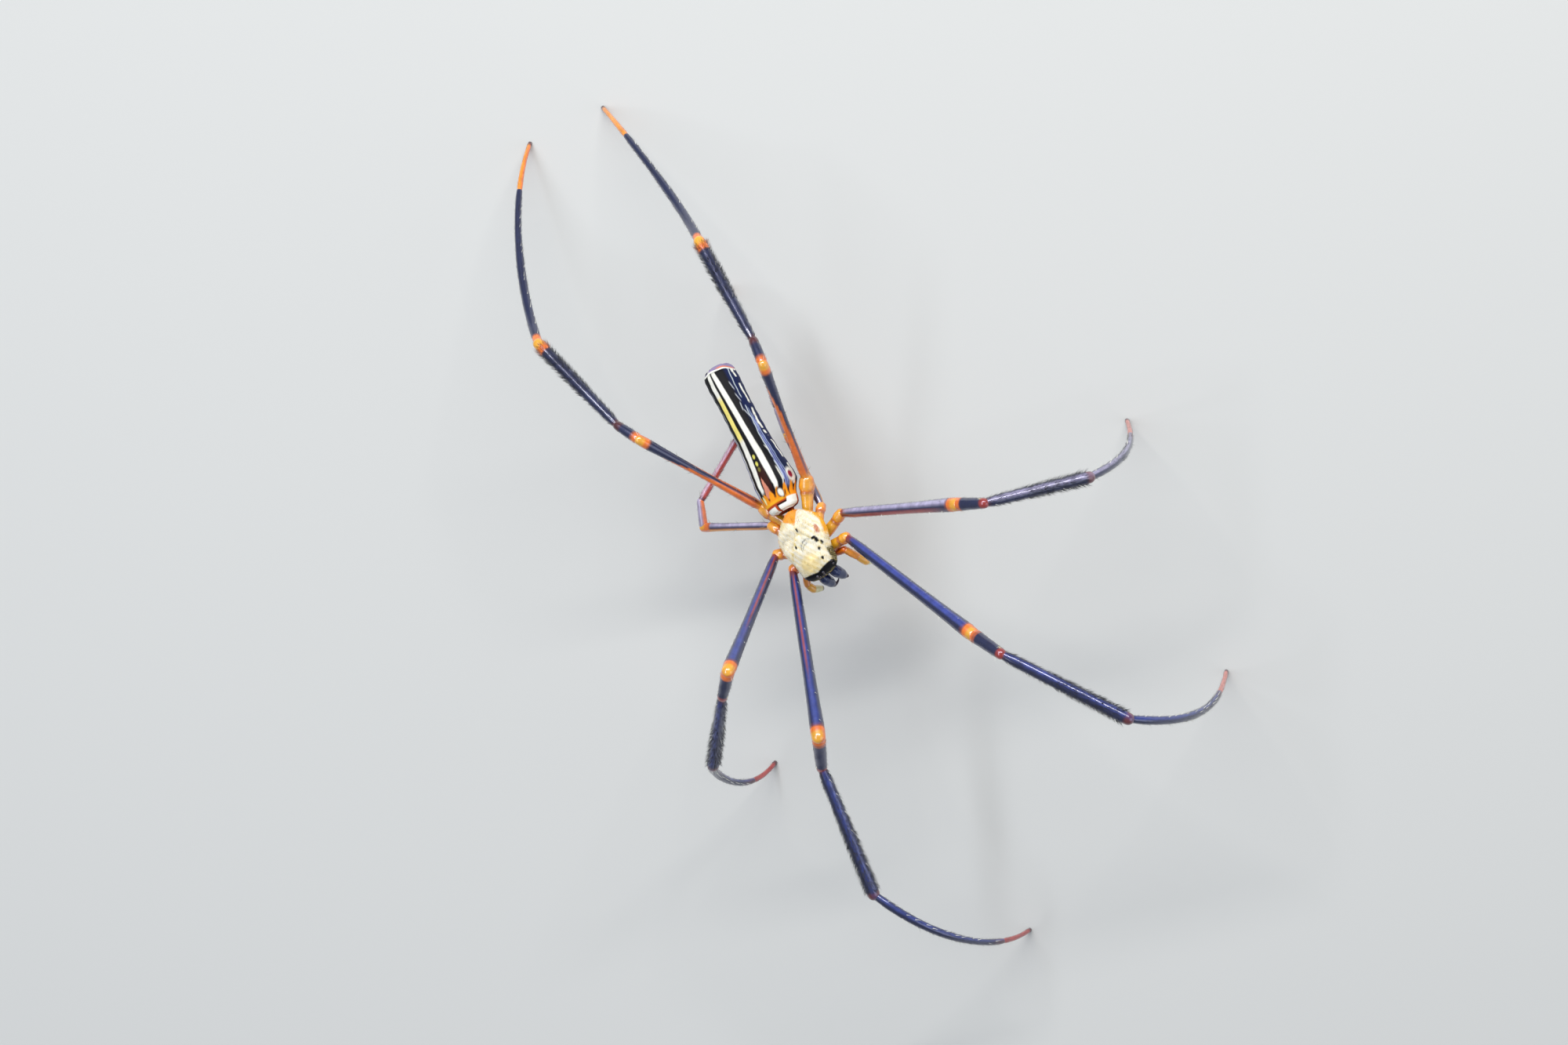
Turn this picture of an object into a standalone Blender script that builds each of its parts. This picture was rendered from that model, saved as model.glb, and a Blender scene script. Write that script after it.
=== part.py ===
"""A female golden silk orb weaver, life size, standing on its eight leg tips.

The head looks toward -Y and the spider's left side is +X. Lengths below are in
millimetres, angles in degrees. Azimuths are measured from +X toward +Y and
elevations from the floor upward, both along a segment away from the body.
"""

import math
from dataclasses import dataclass

import bmesh
import bpy
from mathutils import Matrix, Vector

MM = 0.001
GAP = 0.3

# Where the front half of the body stands
BODY_PLACE = (-0.5, 0.3, 26.0)
NOSE_UP, LEFT_UP, HEAD_TO_LEFT = 10, 8, 3

# Front half of the body
CARAPACE_LENGTH, CARAPACE_WIDTH = 14.2, 10.4
CARAPACE_REAR = 6.4
HEAD_HEIGHT = 3.2
THORAX_HEIGHT, REAR_HEIGHT = 2.4, 0.9
CARAPACE_FLOOR = -0.2
STERNUM_LENGTH, STERNUM_WIDTH = 8.0, 4.6
STERNUM_TOP, STERNUM_BOTTOM = -0.7, -3.4
PEDICEL_WIDTH = 1.3

# Eyes: sideways, forward and upward places on the head, and their width
EYES = {
    "front_middle": (0.55, -7.75, 1.45, 0.55),
    "rear_middle": (0.7, -7.5, 2.05, 0.6),
    "front_side": (2.95, -6.9, 1.1, 0.5),
    "rear_side": (3.15, -6.45, 1.6, 0.5),
}

# Jaws and palps
JAW_TOP = (1.25, -6.9, -0.55)
JAW_DROOP = (0.05, -0.42, -1)
JAW_LENGTH, JAW_WIDTH, JAW_DEPTH = 4.6, 2.2, 2.6
FANG_LENGTH, FANG_WIDTH = 2.4, 0.6

# Rear half of the body
ABDOMEN_FRONT = (-0.6, 6.88, 25.0)
ABDOMEN_LENGTH = 31.4
ABDOMEN_AZIMUTH, ABDOMEN_ELEVATION = 90.5, -9
SPINNERETS_AT = 0.805

TARSUS_SHARE = 0.24
HANDLE = 0.34


@dataclass(frozen=True)
class Pair:
    """Lengths and widths that the left and the right leg of a pair share."""

    femur: float
    patella: float
    tibia: float
    foot: float
    coxa_root: tuple
    coxa_widths: tuple
    femur_widths: tuple
    patella_width: float
    tibia_widths: tuple
    foot_widths: tuple


# Roots are on the left side of the sternum, widths run away from the body
PAIRS = {
    1: Pair(36.5, 8.3, 26.5, 45.0, (2.75, -3.1, -2.0), (2.0, 2.1, 1.9),
            (1.9, 2.2, 2.7), 2.4, (2.1, 2.3, 2.4), (1.7, 1.5, 1.1, 0.8)),
    2: Pair(32.5, 6.8, 20.8, 38.0, (3.0, -0.7, -2.0), (2.0, 2.1, 1.9),
            (1.9, 2.1, 2.6), 2.3, (2.0, 2.2, 2.3), (1.7, 1.5, 1.1, 0.8)),
    3: Pair(16.5, 5.0, 13.5, 20.6, (2.85, 1.7, -2.0), (1.9, 1.9, 1.7),
            (1.6, 1.5, 1.7), 1.6, (1.4, 1.3, 1.3), (1.2, 1.1, 0.9, 0.7)),
    4: Pair(28.5, 5.5, 23.8, 49.0, (1.9, 4.3, -2.0), (1.9, 2.2, 2.6),
            (2.0, 1.5, 2.0), 2.0, (1.8, 2.2, 2.2), (1.9, 1.6, 1.2, 0.8)),
}


@dataclass(frozen=True)
class Pose:
    """One leg's stance: hip and foot are places, the rest azimuth and elevation."""

    hip: tuple
    femur: tuple
    patella: tuple
    tibia: tuple
    foot: tuple
    leave: tuple
    arrive: tuple


POSES = {
    "left_1": Pose((6.8, -3.0, 26.5), (-61, 25), (-57, 30), (-57, -6),
                   (51.3, -59.1), (-40, -37), (84, -69)),
    "left_2": Pose((8.0, 1.4, 25.9), (-24, 33), (-26, 28), (-16, -30),
                   (58.5, -8.8), (-1, -61), (113, -65)),
    "left_3": Pose((4.4, 4.8, 22.3), (91.5, -20), (82, 0), (83, -14),
                   (3.8, 51.5), (95, -40), (105, -72)),
    "left_4": Pose((4.8, 10.3, 23.9), (69, 37), (90, -26), (95, -21),
                   (-0.5, 93.4), (110, -57), (118, -50)),
    "right_1": Pose((-5.9, -3.0, 24.7), (-102, 30), (-129, -42), (-102, -16),
                    (-6.7, -82.6), (-67, -2), (25, -75)),
    "right_2": Pose((-7.5, 1.1, 23.8), (-127, 51), (-144, -36), (-143, -43),
                    (-34.1, -30.8), (172, -68), (36, -53)),
    "right_3": Pose((-6.0, 6.4, 22.4), (153, -24), (65, 8), (30, -8),
                    (-5.0, 33.5), (75, -25), (100, -70)),
    "right_4": Pose((-5.8, 10.03, 21.0), (116, 32), (121, -16), (109, -16),
                    (-16.4, 94.8), (101, -49), (55, -49)),
}

# Places that each palp passes through, from the mouth to the tip, and widths
PALPS = {
    "left": ((2.6, -4.3, 23.6), (4.9, -4.7, 24.9), (6.2, -7.0, 24.2),
             (6.9, -8.5, 23.0), (7.5, -8.8, 21.7)),
    "right": ((-2.3, -4.4, 22.6), (-4.6, -5.5, 23.8), (-5.1, -6.8, 23.7),
              (-4.7, -8.0, 22.9), (-3.8, -8.4, 21.9)),
}
PALP_WIDTHS = (1.2, 1.4, 1.3, 1.5, 1.1)

# Colour, roughness and metallic value of each material
COLOURS = {
    "silver_hair": ((0.80, 0.68, 0.40), 0.6, 0.0),
    "black_cuticle": ((0.012, 0.014, 0.035), 0.3, 0.0),
    "orange_cuticle": ((0.85, 0.30, 0.03), 0.4, 0.0),
    "striped_cuticle": ((0.06, 0.06, 0.07), 0.4, 0.0),
    "red_cuticle": ((0.45, 0.09, 0.03), 0.4, 0.0),
}

# Materials and collection


def material(name):
    found = bpy.data.materials.get(name)
    if found:
        return found
    colour, roughness, metallic = COLOURS[name]
    made = bpy.data.materials.new(name)
    made.use_nodes = True
    shader = made.node_tree.nodes["Principled BSDF"]
    shader.inputs["Base Color"].default_value = (*colour, 1.0)
    shader.inputs["Roughness"].default_value = roughness
    shader.inputs["Metallic"].default_value = metallic
    made.diffuse_color = (*colour, 1.0)
    return made


def clear_scene():
    for thing in list(bpy.data.objects):
        bpy.data.objects.remove(thing, do_unlink=True)


def add_object(name, mesh, material_name, parent):
    """Names a mesh as one sub-part, smooth but for its cut ends."""
    mesh.name = name
    mesh.materials.clear()
    mesh.materials.append(material(material_name))
    mesh.shade_smooth()
    mesh.set_sharp_from_angle(angle=math.radians(50))
    part = bpy.data.objects.new(name, mesh)
    part.parent = parent
    bpy.data.collections["golden_silk_orb_weaver"].objects.link(part)
    return part


# Geometry helpers


def heading(azimuth, elevation):
    across = math.cos(math.radians(elevation))
    turn = math.radians(azimuth)
    return Vector((math.cos(turn) * across, math.sin(turn) * across,
                   math.sin(math.radians(elevation))))


def smooth_profile(stops, at):
    """A value read from evenly spaced stops, eased from each to the next."""
    place = min(max(at, 0.0), 1.0) * (len(stops) - 1)
    low = min(int(place), len(stops) - 2)
    share = place - low
    eased = share * share * (3 - 2 * share)
    return stops[low] * (1 - eased) + stops[low + 1] * eased


def stepped_profile(pairs, at):
    """A value read from (place, value) pairs, straight between them."""
    for (start, low), (end, high) in zip(pairs, pairs[1:]):
        if at <= end:
            return low + (high - low) * (at - start) / (end - start)
    return pairs[-1][1]


def mesh_of(curve_object):
    """The closed mesh of a curve with its caps welded, and the curve removed."""
    seen = curve_object.evaluated_get(bpy.context.evaluated_depsgraph_get())
    mesh = bpy.data.meshes.new_from_object(seen)
    bpy.data.objects.remove(curve_object, do_unlink=True)
    solid = bmesh.new()
    solid.from_mesh(mesh)
    bmesh.ops.remove_doubles(solid, verts=solid.verts, dist=0.00001)
    solid.to_mesh(mesh)
    solid.free()
    return mesh


def tube(points, widths, resolution=2):
    """A closed tube through points, with its width given at each of them."""
    curve = bpy.data.curves.new("tube", "CURVE")
    curve.dimensions = "3D"
    curve.bevel_depth = MM
    curve.bevel_resolution = resolution
    curve.use_fill_caps = True
    spline = curve.splines.new("POLY")
    spline.points.add(len(points) - 1)
    for point, place, width in zip(spline.points, points, widths):
        point.co = (*(Vector(place) * MM), 1.0)
        point.radius = width / 2
    thing = bpy.data.objects.new("tube", curve)
    bpy.context.scene.collection.objects.link(thing)
    bpy.context.view_layer.update()
    return mesh_of(thing)


def cut(mesh, place, outward):
    """Removes what lies beyond a plane and closes the cut with a flat face."""
    solid = bmesh.new()
    solid.from_mesh(mesh)
    everything = list(solid.verts) + list(solid.edges) + list(solid.faces)
    done = bmesh.ops.bisect_plane(
        solid, geom=everything, dist=0.000001, plane_co=Vector(place) * MM,
        plane_no=outward, clear_outer=True)
    rim = [item for item in done["geom_cut"] if isinstance(item, bmesh.types.BMEdge)]
    bmesh.ops.edgeloop_fill(solid, edges=rim)
    bmesh.ops.recalc_face_normals(solid, faces=solid.faces)
    solid.to_mesh(mesh)
    solid.free()


def joined(meshes):
    """One mesh, the union of closed meshes that overlap."""
    things = []
    for mesh in meshes:
        thing = bpy.data.objects.new("piece", mesh)
        bpy.context.scene.collection.objects.link(thing)
        things.append(thing)
    base, rest = things[0], things[1:]
    group = bpy.data.collections.new("pieces")
    bpy.context.scene.collection.children.link(group)
    for thing in rest:
        group.objects.link(thing)
    union = base.modifiers.new("union", "BOOLEAN")
    union.operation = "UNION"
    union.operand_type = "COLLECTION"
    union.collection = group
    union.solver = "EXACT"
    bpy.context.view_layer.update()
    seen = base.evaluated_get(bpy.context.evaluated_depsgraph_get())
    mesh = bpy.data.meshes.new_from_object(seen)
    for thing in things:
        bpy.data.objects.remove(thing, do_unlink=True)
    bpy.data.collections.remove(group)
    return mesh


def shaped_ball(place, segments=20, rings=12):
    """A ball whose every point, on the unit sphere, is moved by place()."""
    solid = bmesh.new()
    bmesh.ops.create_uvsphere(solid, u_segments=segments, v_segments=rings, radius=1.0,
                              matrix=Matrix.Rotation(math.radians(90), 4, "X"))
    for vertex in solid.verts:
        vertex.co = Vector(place(vertex.co)) * MM
    if solid.calc_volume(signed=True) < 0:
        bmesh.ops.reverse_faces(solid, faces=solid.faces)
    mesh = bpy.data.meshes.new("ball")
    solid.to_mesh(mesh)
    solid.free()
    return mesh


# Body

BODY = (Matrix.Translation(BODY_PLACE)
        @ Matrix.Rotation(math.radians(HEAD_TO_LEFT), 4, "Z")
        @ Matrix.Rotation(math.radians(-NOSE_UP), 4, "X")
        @ Matrix.Rotation(math.radians(-LEFT_UP), 4, "Y"))


def carapace_half_width(forward):
    """Half the width at a share of the length, 0 at the rear and 1 at the face."""
    stops = ((0.0, 0.0), (0.027, 0.26), (0.092, 0.55), (0.20, 0.86), (0.33, 1.0),
             (0.476, 0.98), (0.605, 0.86), (0.68, 0.80), (0.77, 0.785), (0.86, 0.76),
             (0.93, 0.66), (0.97, 0.52), (0.992, 0.32), (1.0, 0.0))
    return stepped_profile(stops, forward) * CARAPACE_WIDTH / 2


def carapace_height(forward):
    low, high = REAR_HEIGHT, THORAX_HEIGHT
    stops = ((0.0, low), (0.11, low + 0.6), (0.275, high), (0.385, high - 0.15),
             (0.50, high + 0.35), (0.66, HEAD_HEIGHT), (0.80, HEAD_HEIGHT),
             (0.90, HEAD_HEIGHT - 0.3), (0.96, HEAD_HEIGHT - 0.8), (1.0, HEAD_HEIGHT - 1.6))
    return stepped_profile(stops, forward)


def carapace_point(unit):
    """A low shield: domed above, flat below, square in front and round behind."""
    forward = (1 - unit.y) / 2
    around = math.hypot(unit.x, unit.z)
    side = 0.0 if around < 1e-6 else unit.x / around
    up = 0.0 if around < 1e-6 else unit.z / around
    half = carapace_half_width(forward)
    y = CARAPACE_REAR - forward * CARAPACE_LENGTH
    if around < 1e-6:
        return BODY @ Vector((0, y, carapace_height(forward) * 0.4))
    if up >= 0:
        z = carapace_height(forward) * up ** 0.85
    else:
        z = CARAPACE_FLOOR * min(1.0, -up * 2.5)
    return BODY @ Vector((half * side, y, z))


def make_carapace(parent):
    pieces = [shaped_ball(carapace_point, segments=24, rings=16)]
    for sideways, forward, up, width in EYES.values():
        for side in (-1, 1):
            centre = BODY @ Vector((side * sideways, forward, up))
            solid = bmesh.new()
            bmesh.ops.create_icosphere(solid, subdivisions=2, radius=width / 2 * MM,
                                       matrix=Matrix.Translation(centre * MM))
            mesh = bpy.data.meshes.new("eye")
            solid.to_mesh(mesh)
            solid.free()
            pieces.append(mesh)
    add_object("carapace", joined(pieces), "silver_hair", parent)


def sternum_point(unit):
    """A thick shield, widest in front of its middle and pointed behind."""
    back = (unit.y + 1) / 2
    outline = ((0.0, 0.0), (0.02, 0.55), (0.12, 0.9), (0.35, 1.0), (0.7, 0.8), (0.95, 0.4), (1.0, 0.0))
    half = stepped_profile(outline, back) * STERNUM_WIDTH / 2
    around = max(math.hypot(unit.x, unit.z), 1e-6)
    side = max(-1.0, min(1.0, unit.x / around * 1.35))
    up = max(-1.0, min(1.0, unit.z / around * 1.35))
    middle, tall = (STERNUM_TOP + STERNUM_BOTTOM) / 2, (STERNUM_TOP - STERNUM_BOTTOM) / 2
    y = -4.1 + back * STERNUM_LENGTH
    return BODY @ Vector((half * side, y, middle + tall * up))


def make_pedicel(parent):
    start = BODY @ Vector((0, CARAPACE_REAR - 1.6, -1.35))
    left, back, up = abdomen_frame()
    end = Vector(ABDOMEN_FRONT) - back * GAP - up * 0.9
    add_object("pedicel", tube([start, end], (PEDICEL_WIDTH, PEDICEL_WIDTH)), "orange_cuticle", parent)


def abdomen_axis():
    return heading(ABDOMEN_AZIMUTH, ABDOMEN_ELEVATION)


def abdomen_frame():
    """The abdomen's own directions as columns: left, back and up."""
    back = abdomen_axis()
    level_up = Matrix.Rotation(math.radians(-LEFT_UP), 3, back).inverted() @ Vector((0, 0, 1))
    left = back.cross(level_up).normalized()
    up = left.cross(back).normalized()
    return left, back, up


ABDOMEN_HALF_WIDTHS = ((0.0, 0.0), (0.006, 2.1), (0.016, 2.8), (0.045, 3.15), (0.09, 3.35),
                       (0.125, 3.7), (0.165, 4.15), (0.2, 4.15), (0.258, 3.9), (0.355, 3.55),
                       (0.473, 3.25), (0.61, 3.1), (0.746, 3.05), (0.863, 3.2), (0.94, 3.15),
                       (0.975, 2.75), (0.993, 1.9), (1.0, 0.0))
ABDOMEN_HALF_HEIGHTS = ((0.0, 0.0), (0.006, 1.5), (0.016, 2.0), (0.045, 2.2), (0.09, 2.7),
                        (0.165, 3.6), (0.258, 3.85), (0.355, 3.7), (0.473, 3.4), (0.61, 3.25),
                        (0.746, 3.15), (0.863, 3.0), (0.94, 2.8), (0.975, 2.3), (0.993, 1.5),
                        (1.0, 0.0))
# The front face leans toward the spider's right
ABDOMEN_LEAN = ((0.0, -0.65), (0.09, -0.6), (0.165, 0.0), (1.0, 0.0))


def abdomen_point(unit):
    along = (1 + unit.y) / 2
    around = max(math.hypot(unit.x, unit.z), 1e-6)
    left, back, up = abdomen_frame()
    sideways = stepped_profile(ABDOMEN_HALF_WIDTHS, along) * unit.x / around
    sideways += stepped_profile(ABDOMEN_LEAN, along)
    upward = stepped_profile(ABDOMEN_HALF_HEIGHTS, along) * unit.z / around
    return Vector(ABDOMEN_FRONT) + back * along * ABDOMEN_LENGTH + left * sideways + up * upward


def make_spinnerets(parent):
    """Three pairs of short tapered tubes on one low mound, pointing back and down."""
    left, back, up = abdomen_frame()
    depth = stepped_profile(ABDOMEN_HALF_HEIGHTS, SPINNERETS_AT) + GAP
    root = Vector(ABDOMEN_FRONT) + back * SPINNERETS_AT * ABDOMEN_LENGTH - up * depth
    mound = tube([root, root - up * 0.5, root - up * 0.9], (2.6, 2.5, 1.9))
    pieces = [mound]
    for backward, sideways, length in ((-0.55, 0.55, 1.5), (0.15, 0.35, 1.2), (0.7, 0.5, 1.6)):
        for side in (-1, 1):
            foot = root - up * 0.4 + back * backward + left * side * sideways
            tip = foot - up * length * 0.8 + back * length * 0.5 - left * side * sideways * 0.3
            pieces.append(tube([foot, foot.lerp(tip, 0.6), tip], (0.8, 0.75, 0.4)))
    add_object("spinnerets", joined(pieces), "red_cuticle", parent)


def make_jaw(side, name, parent):
    """A chelicera: a fat tapered block that hangs from the face, and its folded fang."""
    top = Vector((side * JAW_TOP[0], JAW_TOP[1], JAW_TOP[2]))
    droop = Vector((side * JAW_DROOP[0], JAW_DROOP[1], JAW_DROOP[2])).normalized()

    def jaw_point(unit):
        along = (1 + unit.y) / 2
        around = max(math.hypot(unit.x, unit.z), 1e-6)
        stops = ((0.0, 0.0), (0.05, 0.6), (0.2, 0.92), (0.4, 1.0), (0.75, 0.85), (0.93, 0.6), (1.0, 0.0))
        half = stepped_profile(stops, along)
        centre = top + droop * along * JAW_LENGTH
        forward = Vector((0, -1, 0.42)).normalized()
        return BODY @ (centre + Vector((1, 0, 0)) * half * JAW_WIDTH / 2 * unit.x / around
                       + forward * JAW_DEPTH * half / 2 * unit.z / around)

    add_object("chelicera_" + name, shaped_ball(jaw_point, segments=14, rings=10), "black_cuticle", parent)
    base = top + droop * (JAW_LENGTH + GAP) + Vector((side * 0.15, -0.1, -0.1))
    steps = 5
    points, widths = [], []
    for step in range(steps):
        share = step / (steps - 1)
        swing = math.radians(85) * share
        bend = Vector((-side * math.sin(swing) * 0.55, 0.25 * share, -math.cos(swing) * 0.3 - 0.1))
        points.append(BODY @ (base + bend * FANG_LENGTH * share))
        widths.append(FANG_WIDTH * (1.15 - 0.75 * share))
    add_object("fang_" + name, tube(points, widths), "black_cuticle", parent)


def make_palp(name, parent):
    """A short feeler: an eased tube through its joints, rounded at the tip."""
    stations = [Vector(place) for place in PALPS[name]]
    steps = 3
    points, widths = [], []
    for piece in range(len(stations) - 1):
        for step in range(steps):
            share = step / steps
            points.append(stations[piece].lerp(stations[piece + 1], share))
            swell = 0.12 * math.sin(math.pi * share)
            taper = (PALP_WIDTHS[piece + 1] - PALP_WIDTHS[piece]) * share
            widths.append(PALP_WIDTHS[piece] + taper + swell)
    tip = stations[-1]
    ahead = (stations[-1] - stations[-2]).normalized()
    for beyond, width in ((0.0, 0.9), (0.4, 0.7), (0.7, 0.3)):
        points.append(tip + ahead * beyond)
        widths.append(PALP_WIDTHS[-1] * width)
    add_object("palp_" + name, tube(points, widths), "orange_cuticle", parent)


# Legs


def ball_end(joint, direction, width):
    """Points and widths that round a tube off past a joint."""
    points, widths = [], []
    for angle in (40, 75):
        turn = math.radians(angle)
        points.append(joint + direction * math.sin(turn) * width / 2)
        widths.append(width * math.cos(turn))
    return points, widths


def segment(name, points, widths, before, after, material_name, parent):
    """A leg segment with ball ends, cut square to the bend at each joint.

    before and after are the neighbours' directions at the two joints.
    """
    first = (points[1] - points[0]).normalized()
    last = (points[-1] - points[-2]).normalized()
    start_points, start_widths = ball_end(points[0], -first, widths[0])
    end_points, end_widths = ball_end(points[-1], last, widths[-1])
    mesh = tube(start_points[::-1] + points + end_points, start_widths[::-1] + widths + end_widths)
    near = (first + before).normalized()
    far = (last + after).normalized()
    cut(mesh, points[0] + near * GAP / 2, -near)
    cut(mesh, points[-1] - far * GAP / 2, far)
    add_object(name, mesh, material_name, parent)


def straight(start, direction, length, stops, swell_end, rows=7):
    """Points and widths of a straight segment that swells toward its far joint."""
    points, widths = [], []
    for row in range(rows):
        share = row / (rows - 1)
        points.append(start + direction * length * share)
        width = smooth_profile(stops, share)
        if share > 0.9:
            width = swell_end
        widths.append(width)
    return points, widths


def foot_curve(start, end, leave, arrive, length, rows):
    """A cubic curve from the tibia to the floor, leaving and arriving at set angles."""
    first = start + heading(*leave) * length * HANDLE
    second = end - heading(*arrive) * length * HANDLE
    points = []
    for row in range(rows):
        t = row / (rows - 1)
        points.append(start * (1 - t) ** 3 + first * 3 * (1 - t) ** 2 * t
                      + second * 3 * (1 - t) * t * t + end * t ** 3)
    return points


def make_leg(name, parent):
    pair = PAIRS[int(name[-1])]
    pose = POSES[name]
    side = 1 if name.startswith("left") else -1
    root_place = Vector(pair.coxa_root)
    root = BODY @ Vector((root_place.x * side, root_place.y, root_place.z))
    hip = Vector(pose.hip)
    femur_way, patella_way, tibia_way = heading(*pose.femur), heading(*pose.patella), heading(*pose.tibia)
    knee = hip + femur_way * pair.femur
    patella_end = knee + patella_way * pair.patella
    tibia_end = patella_end + tibia_way * pair.tibia
    floor_point = Vector((*pose.foot, 0.0))

    bend = root.lerp(hip, 0.5)
    bend.z = root.z + (hip.z - root.z) * 0.15
    points = [root, root.lerp(bend, 0.5), bend, bend.lerp(hip, 0.5), hip]
    widths = [smooth_profile(pair.coxa_widths, share / 4) for share in range(5)]
    widths[-1] = pair.femur_widths[0]
    coxa_way = (hip - bend).normalized()
    segment("coxa_" + name, points, widths, (bend - root).normalized(), femur_way, "orange_cuticle", parent)

    knee_width = pair.femur_widths[-1]
    points, widths = straight(hip, femur_way, pair.femur, pair.femur_widths, knee_width)
    segment("femur_" + name, points, widths, coxa_way, patella_way, "black_cuticle", parent)

    joint_width = pair.tibia_widths[0]
    points, widths = straight(knee, patella_way, pair.patella,
                              (knee_width, pair.patella_width, joint_width), joint_width, rows=4)
    segment("patella_" + name, points, widths, femur_way, tibia_way, "black_cuticle", parent)

    rows = 13
    path = foot_curve(tibia_end, floor_point, pose.leave, pose.arrive, pair.foot, rows)
    split = round((1 - TARSUS_SHARE) * (rows - 1))
    path_widths = [smooth_profile(pair.foot_widths, row / (rows - 1)) for row in range(rows)]
    leave_way = (path[1] - path[0]).normalized()
    split_way = (path[split + 1] - path[split]).normalized()
    points, widths = straight(patella_end, tibia_way, pair.tibia, pair.tibia_widths, pair.foot_widths[0])
    segment("tibia_" + name, points, widths, patella_way, leave_way, "black_cuticle", parent)

    before_split = (path[split] - path[split - 1]).normalized()
    segment("metatarsus_" + name, path[:split + 1], path_widths[:split + 1], tibia_way, split_way,
            "black_cuticle", parent)

    last_way = (path[-1] - path[-2]).normalized()
    points = path[split:] + [path[-1] + last_way * 0.8]
    widths = path_widths[split:] + [path_widths[-1]]
    mesh = tube(points, widths)
    near = (split_way + before_split).normalized()
    cut(mesh, path[split] + near * GAP / 2, -near)
    cut(mesh, (0, 0, 0), Vector((0, 0, -1)))
    add_object("tarsus_" + name, mesh, "red_cuticle" if name[-1] in "12" else "orange_cuticle", parent)


def centre_on_floor(root, parts):
    """Moves the whole animal so that the middle of its outline is over the origin."""
    bpy.context.view_layer.update()
    corners = [part.matrix_world @ vertex.co for part in parts for vertex in part.data.vertices]
    for axis in (0, 1):
        values = [corner[axis] for corner in corners]
        root.location[axis] -= (min(values) + max(values)) / 2
    bpy.context.view_layer.update()


def main():
    clear_scene()
    group = bpy.data.collections.get("golden_silk_orb_weaver")
    if not group:
        group = bpy.data.collections.new("golden_silk_orb_weaver")
        bpy.context.scene.collection.children.link(group)
    root = bpy.data.objects.new("origin", None)
    group.objects.link(root)
    make_carapace(root)
    add_object("sternum", shaped_ball(sternum_point, segments=16, rings=10), "orange_cuticle", root)
    make_pedicel(root)
    add_object("abdomen", shaped_ball(abdomen_point, segments=20, rings=24), "striped_cuticle", root)
    make_spinnerets(root)
    for side, name in ((1, "left"), (-1, "right")):
        make_jaw(side, name, root)
        make_palp(name, root)
    for name in POSES:
        make_leg(name, root)
    centre_on_floor(root, [part for part in group.objects if part.type == "MESH"])


main()
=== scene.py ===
# %% [markdown]
# # A golden silk orb weaver at life size
# This lesson dresses a still spider: a 46 mm body on eight long legs that span 178 mm.
# The solids of the frame give every length and place, so a new skin goes exactly where
# they are. A spider wears its skeleton outside, as hard tubes with soft bands between,
# so each leg is a row of closed shells, and colour, hair and spines come on top of them.

# %% Load the frame
import math

import bpy
import numpy as np
from mathutils import Matrix, Vector


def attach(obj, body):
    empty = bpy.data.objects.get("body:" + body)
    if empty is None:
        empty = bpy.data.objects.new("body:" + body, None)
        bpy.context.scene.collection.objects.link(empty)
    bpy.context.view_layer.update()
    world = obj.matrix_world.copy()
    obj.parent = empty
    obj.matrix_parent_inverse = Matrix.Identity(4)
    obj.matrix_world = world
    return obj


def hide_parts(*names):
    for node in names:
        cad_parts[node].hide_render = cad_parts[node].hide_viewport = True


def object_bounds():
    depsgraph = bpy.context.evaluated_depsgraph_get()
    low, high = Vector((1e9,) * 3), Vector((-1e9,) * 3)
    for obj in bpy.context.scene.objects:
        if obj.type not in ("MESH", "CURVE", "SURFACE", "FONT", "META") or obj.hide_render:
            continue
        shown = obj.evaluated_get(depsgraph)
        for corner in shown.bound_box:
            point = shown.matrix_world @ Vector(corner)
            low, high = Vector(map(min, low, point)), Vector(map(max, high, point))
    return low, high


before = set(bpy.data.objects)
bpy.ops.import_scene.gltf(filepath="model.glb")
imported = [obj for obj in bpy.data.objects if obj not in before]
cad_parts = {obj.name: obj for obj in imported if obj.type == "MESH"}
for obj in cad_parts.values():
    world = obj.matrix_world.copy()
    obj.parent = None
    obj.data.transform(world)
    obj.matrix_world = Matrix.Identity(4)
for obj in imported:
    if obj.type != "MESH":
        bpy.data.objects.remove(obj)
CAD_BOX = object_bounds()
MM = 0.001
print("the frame is", [round((high - low) / MM, 1) for low, high in zip(*CAD_BOX)], "mm")

# %% [markdown]
# ## Sizes
# All lengths are in millimetres, the same named sizes that the solids were made from.
# Azimuths run from +X toward +Y and elevations from the floor upward, both pointing
# away from the body. The head looks toward -Y, so the spider's left is +X.

# %% Body sizes and stance
BODY_PLACE = (-0.5, 0.3, 26.0)
NOSE_UP, LEFT_UP, HEAD_TO_LEFT = 10, 8, 3
CARAPACE_LENGTH, CARAPACE_WIDTH = 14.2, 10.4
CARAPACE_REAR = 6.4
ABDOMEN_FRONT = (-0.6, 6.88, 25.0)
ABDOMEN_LENGTH = 31.4
ABDOMEN_AZIMUTH, ABDOMEN_ELEVATION = 90.5, -9
TARSUS_SHARE, HANDLE = 0.24, 0.34

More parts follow.
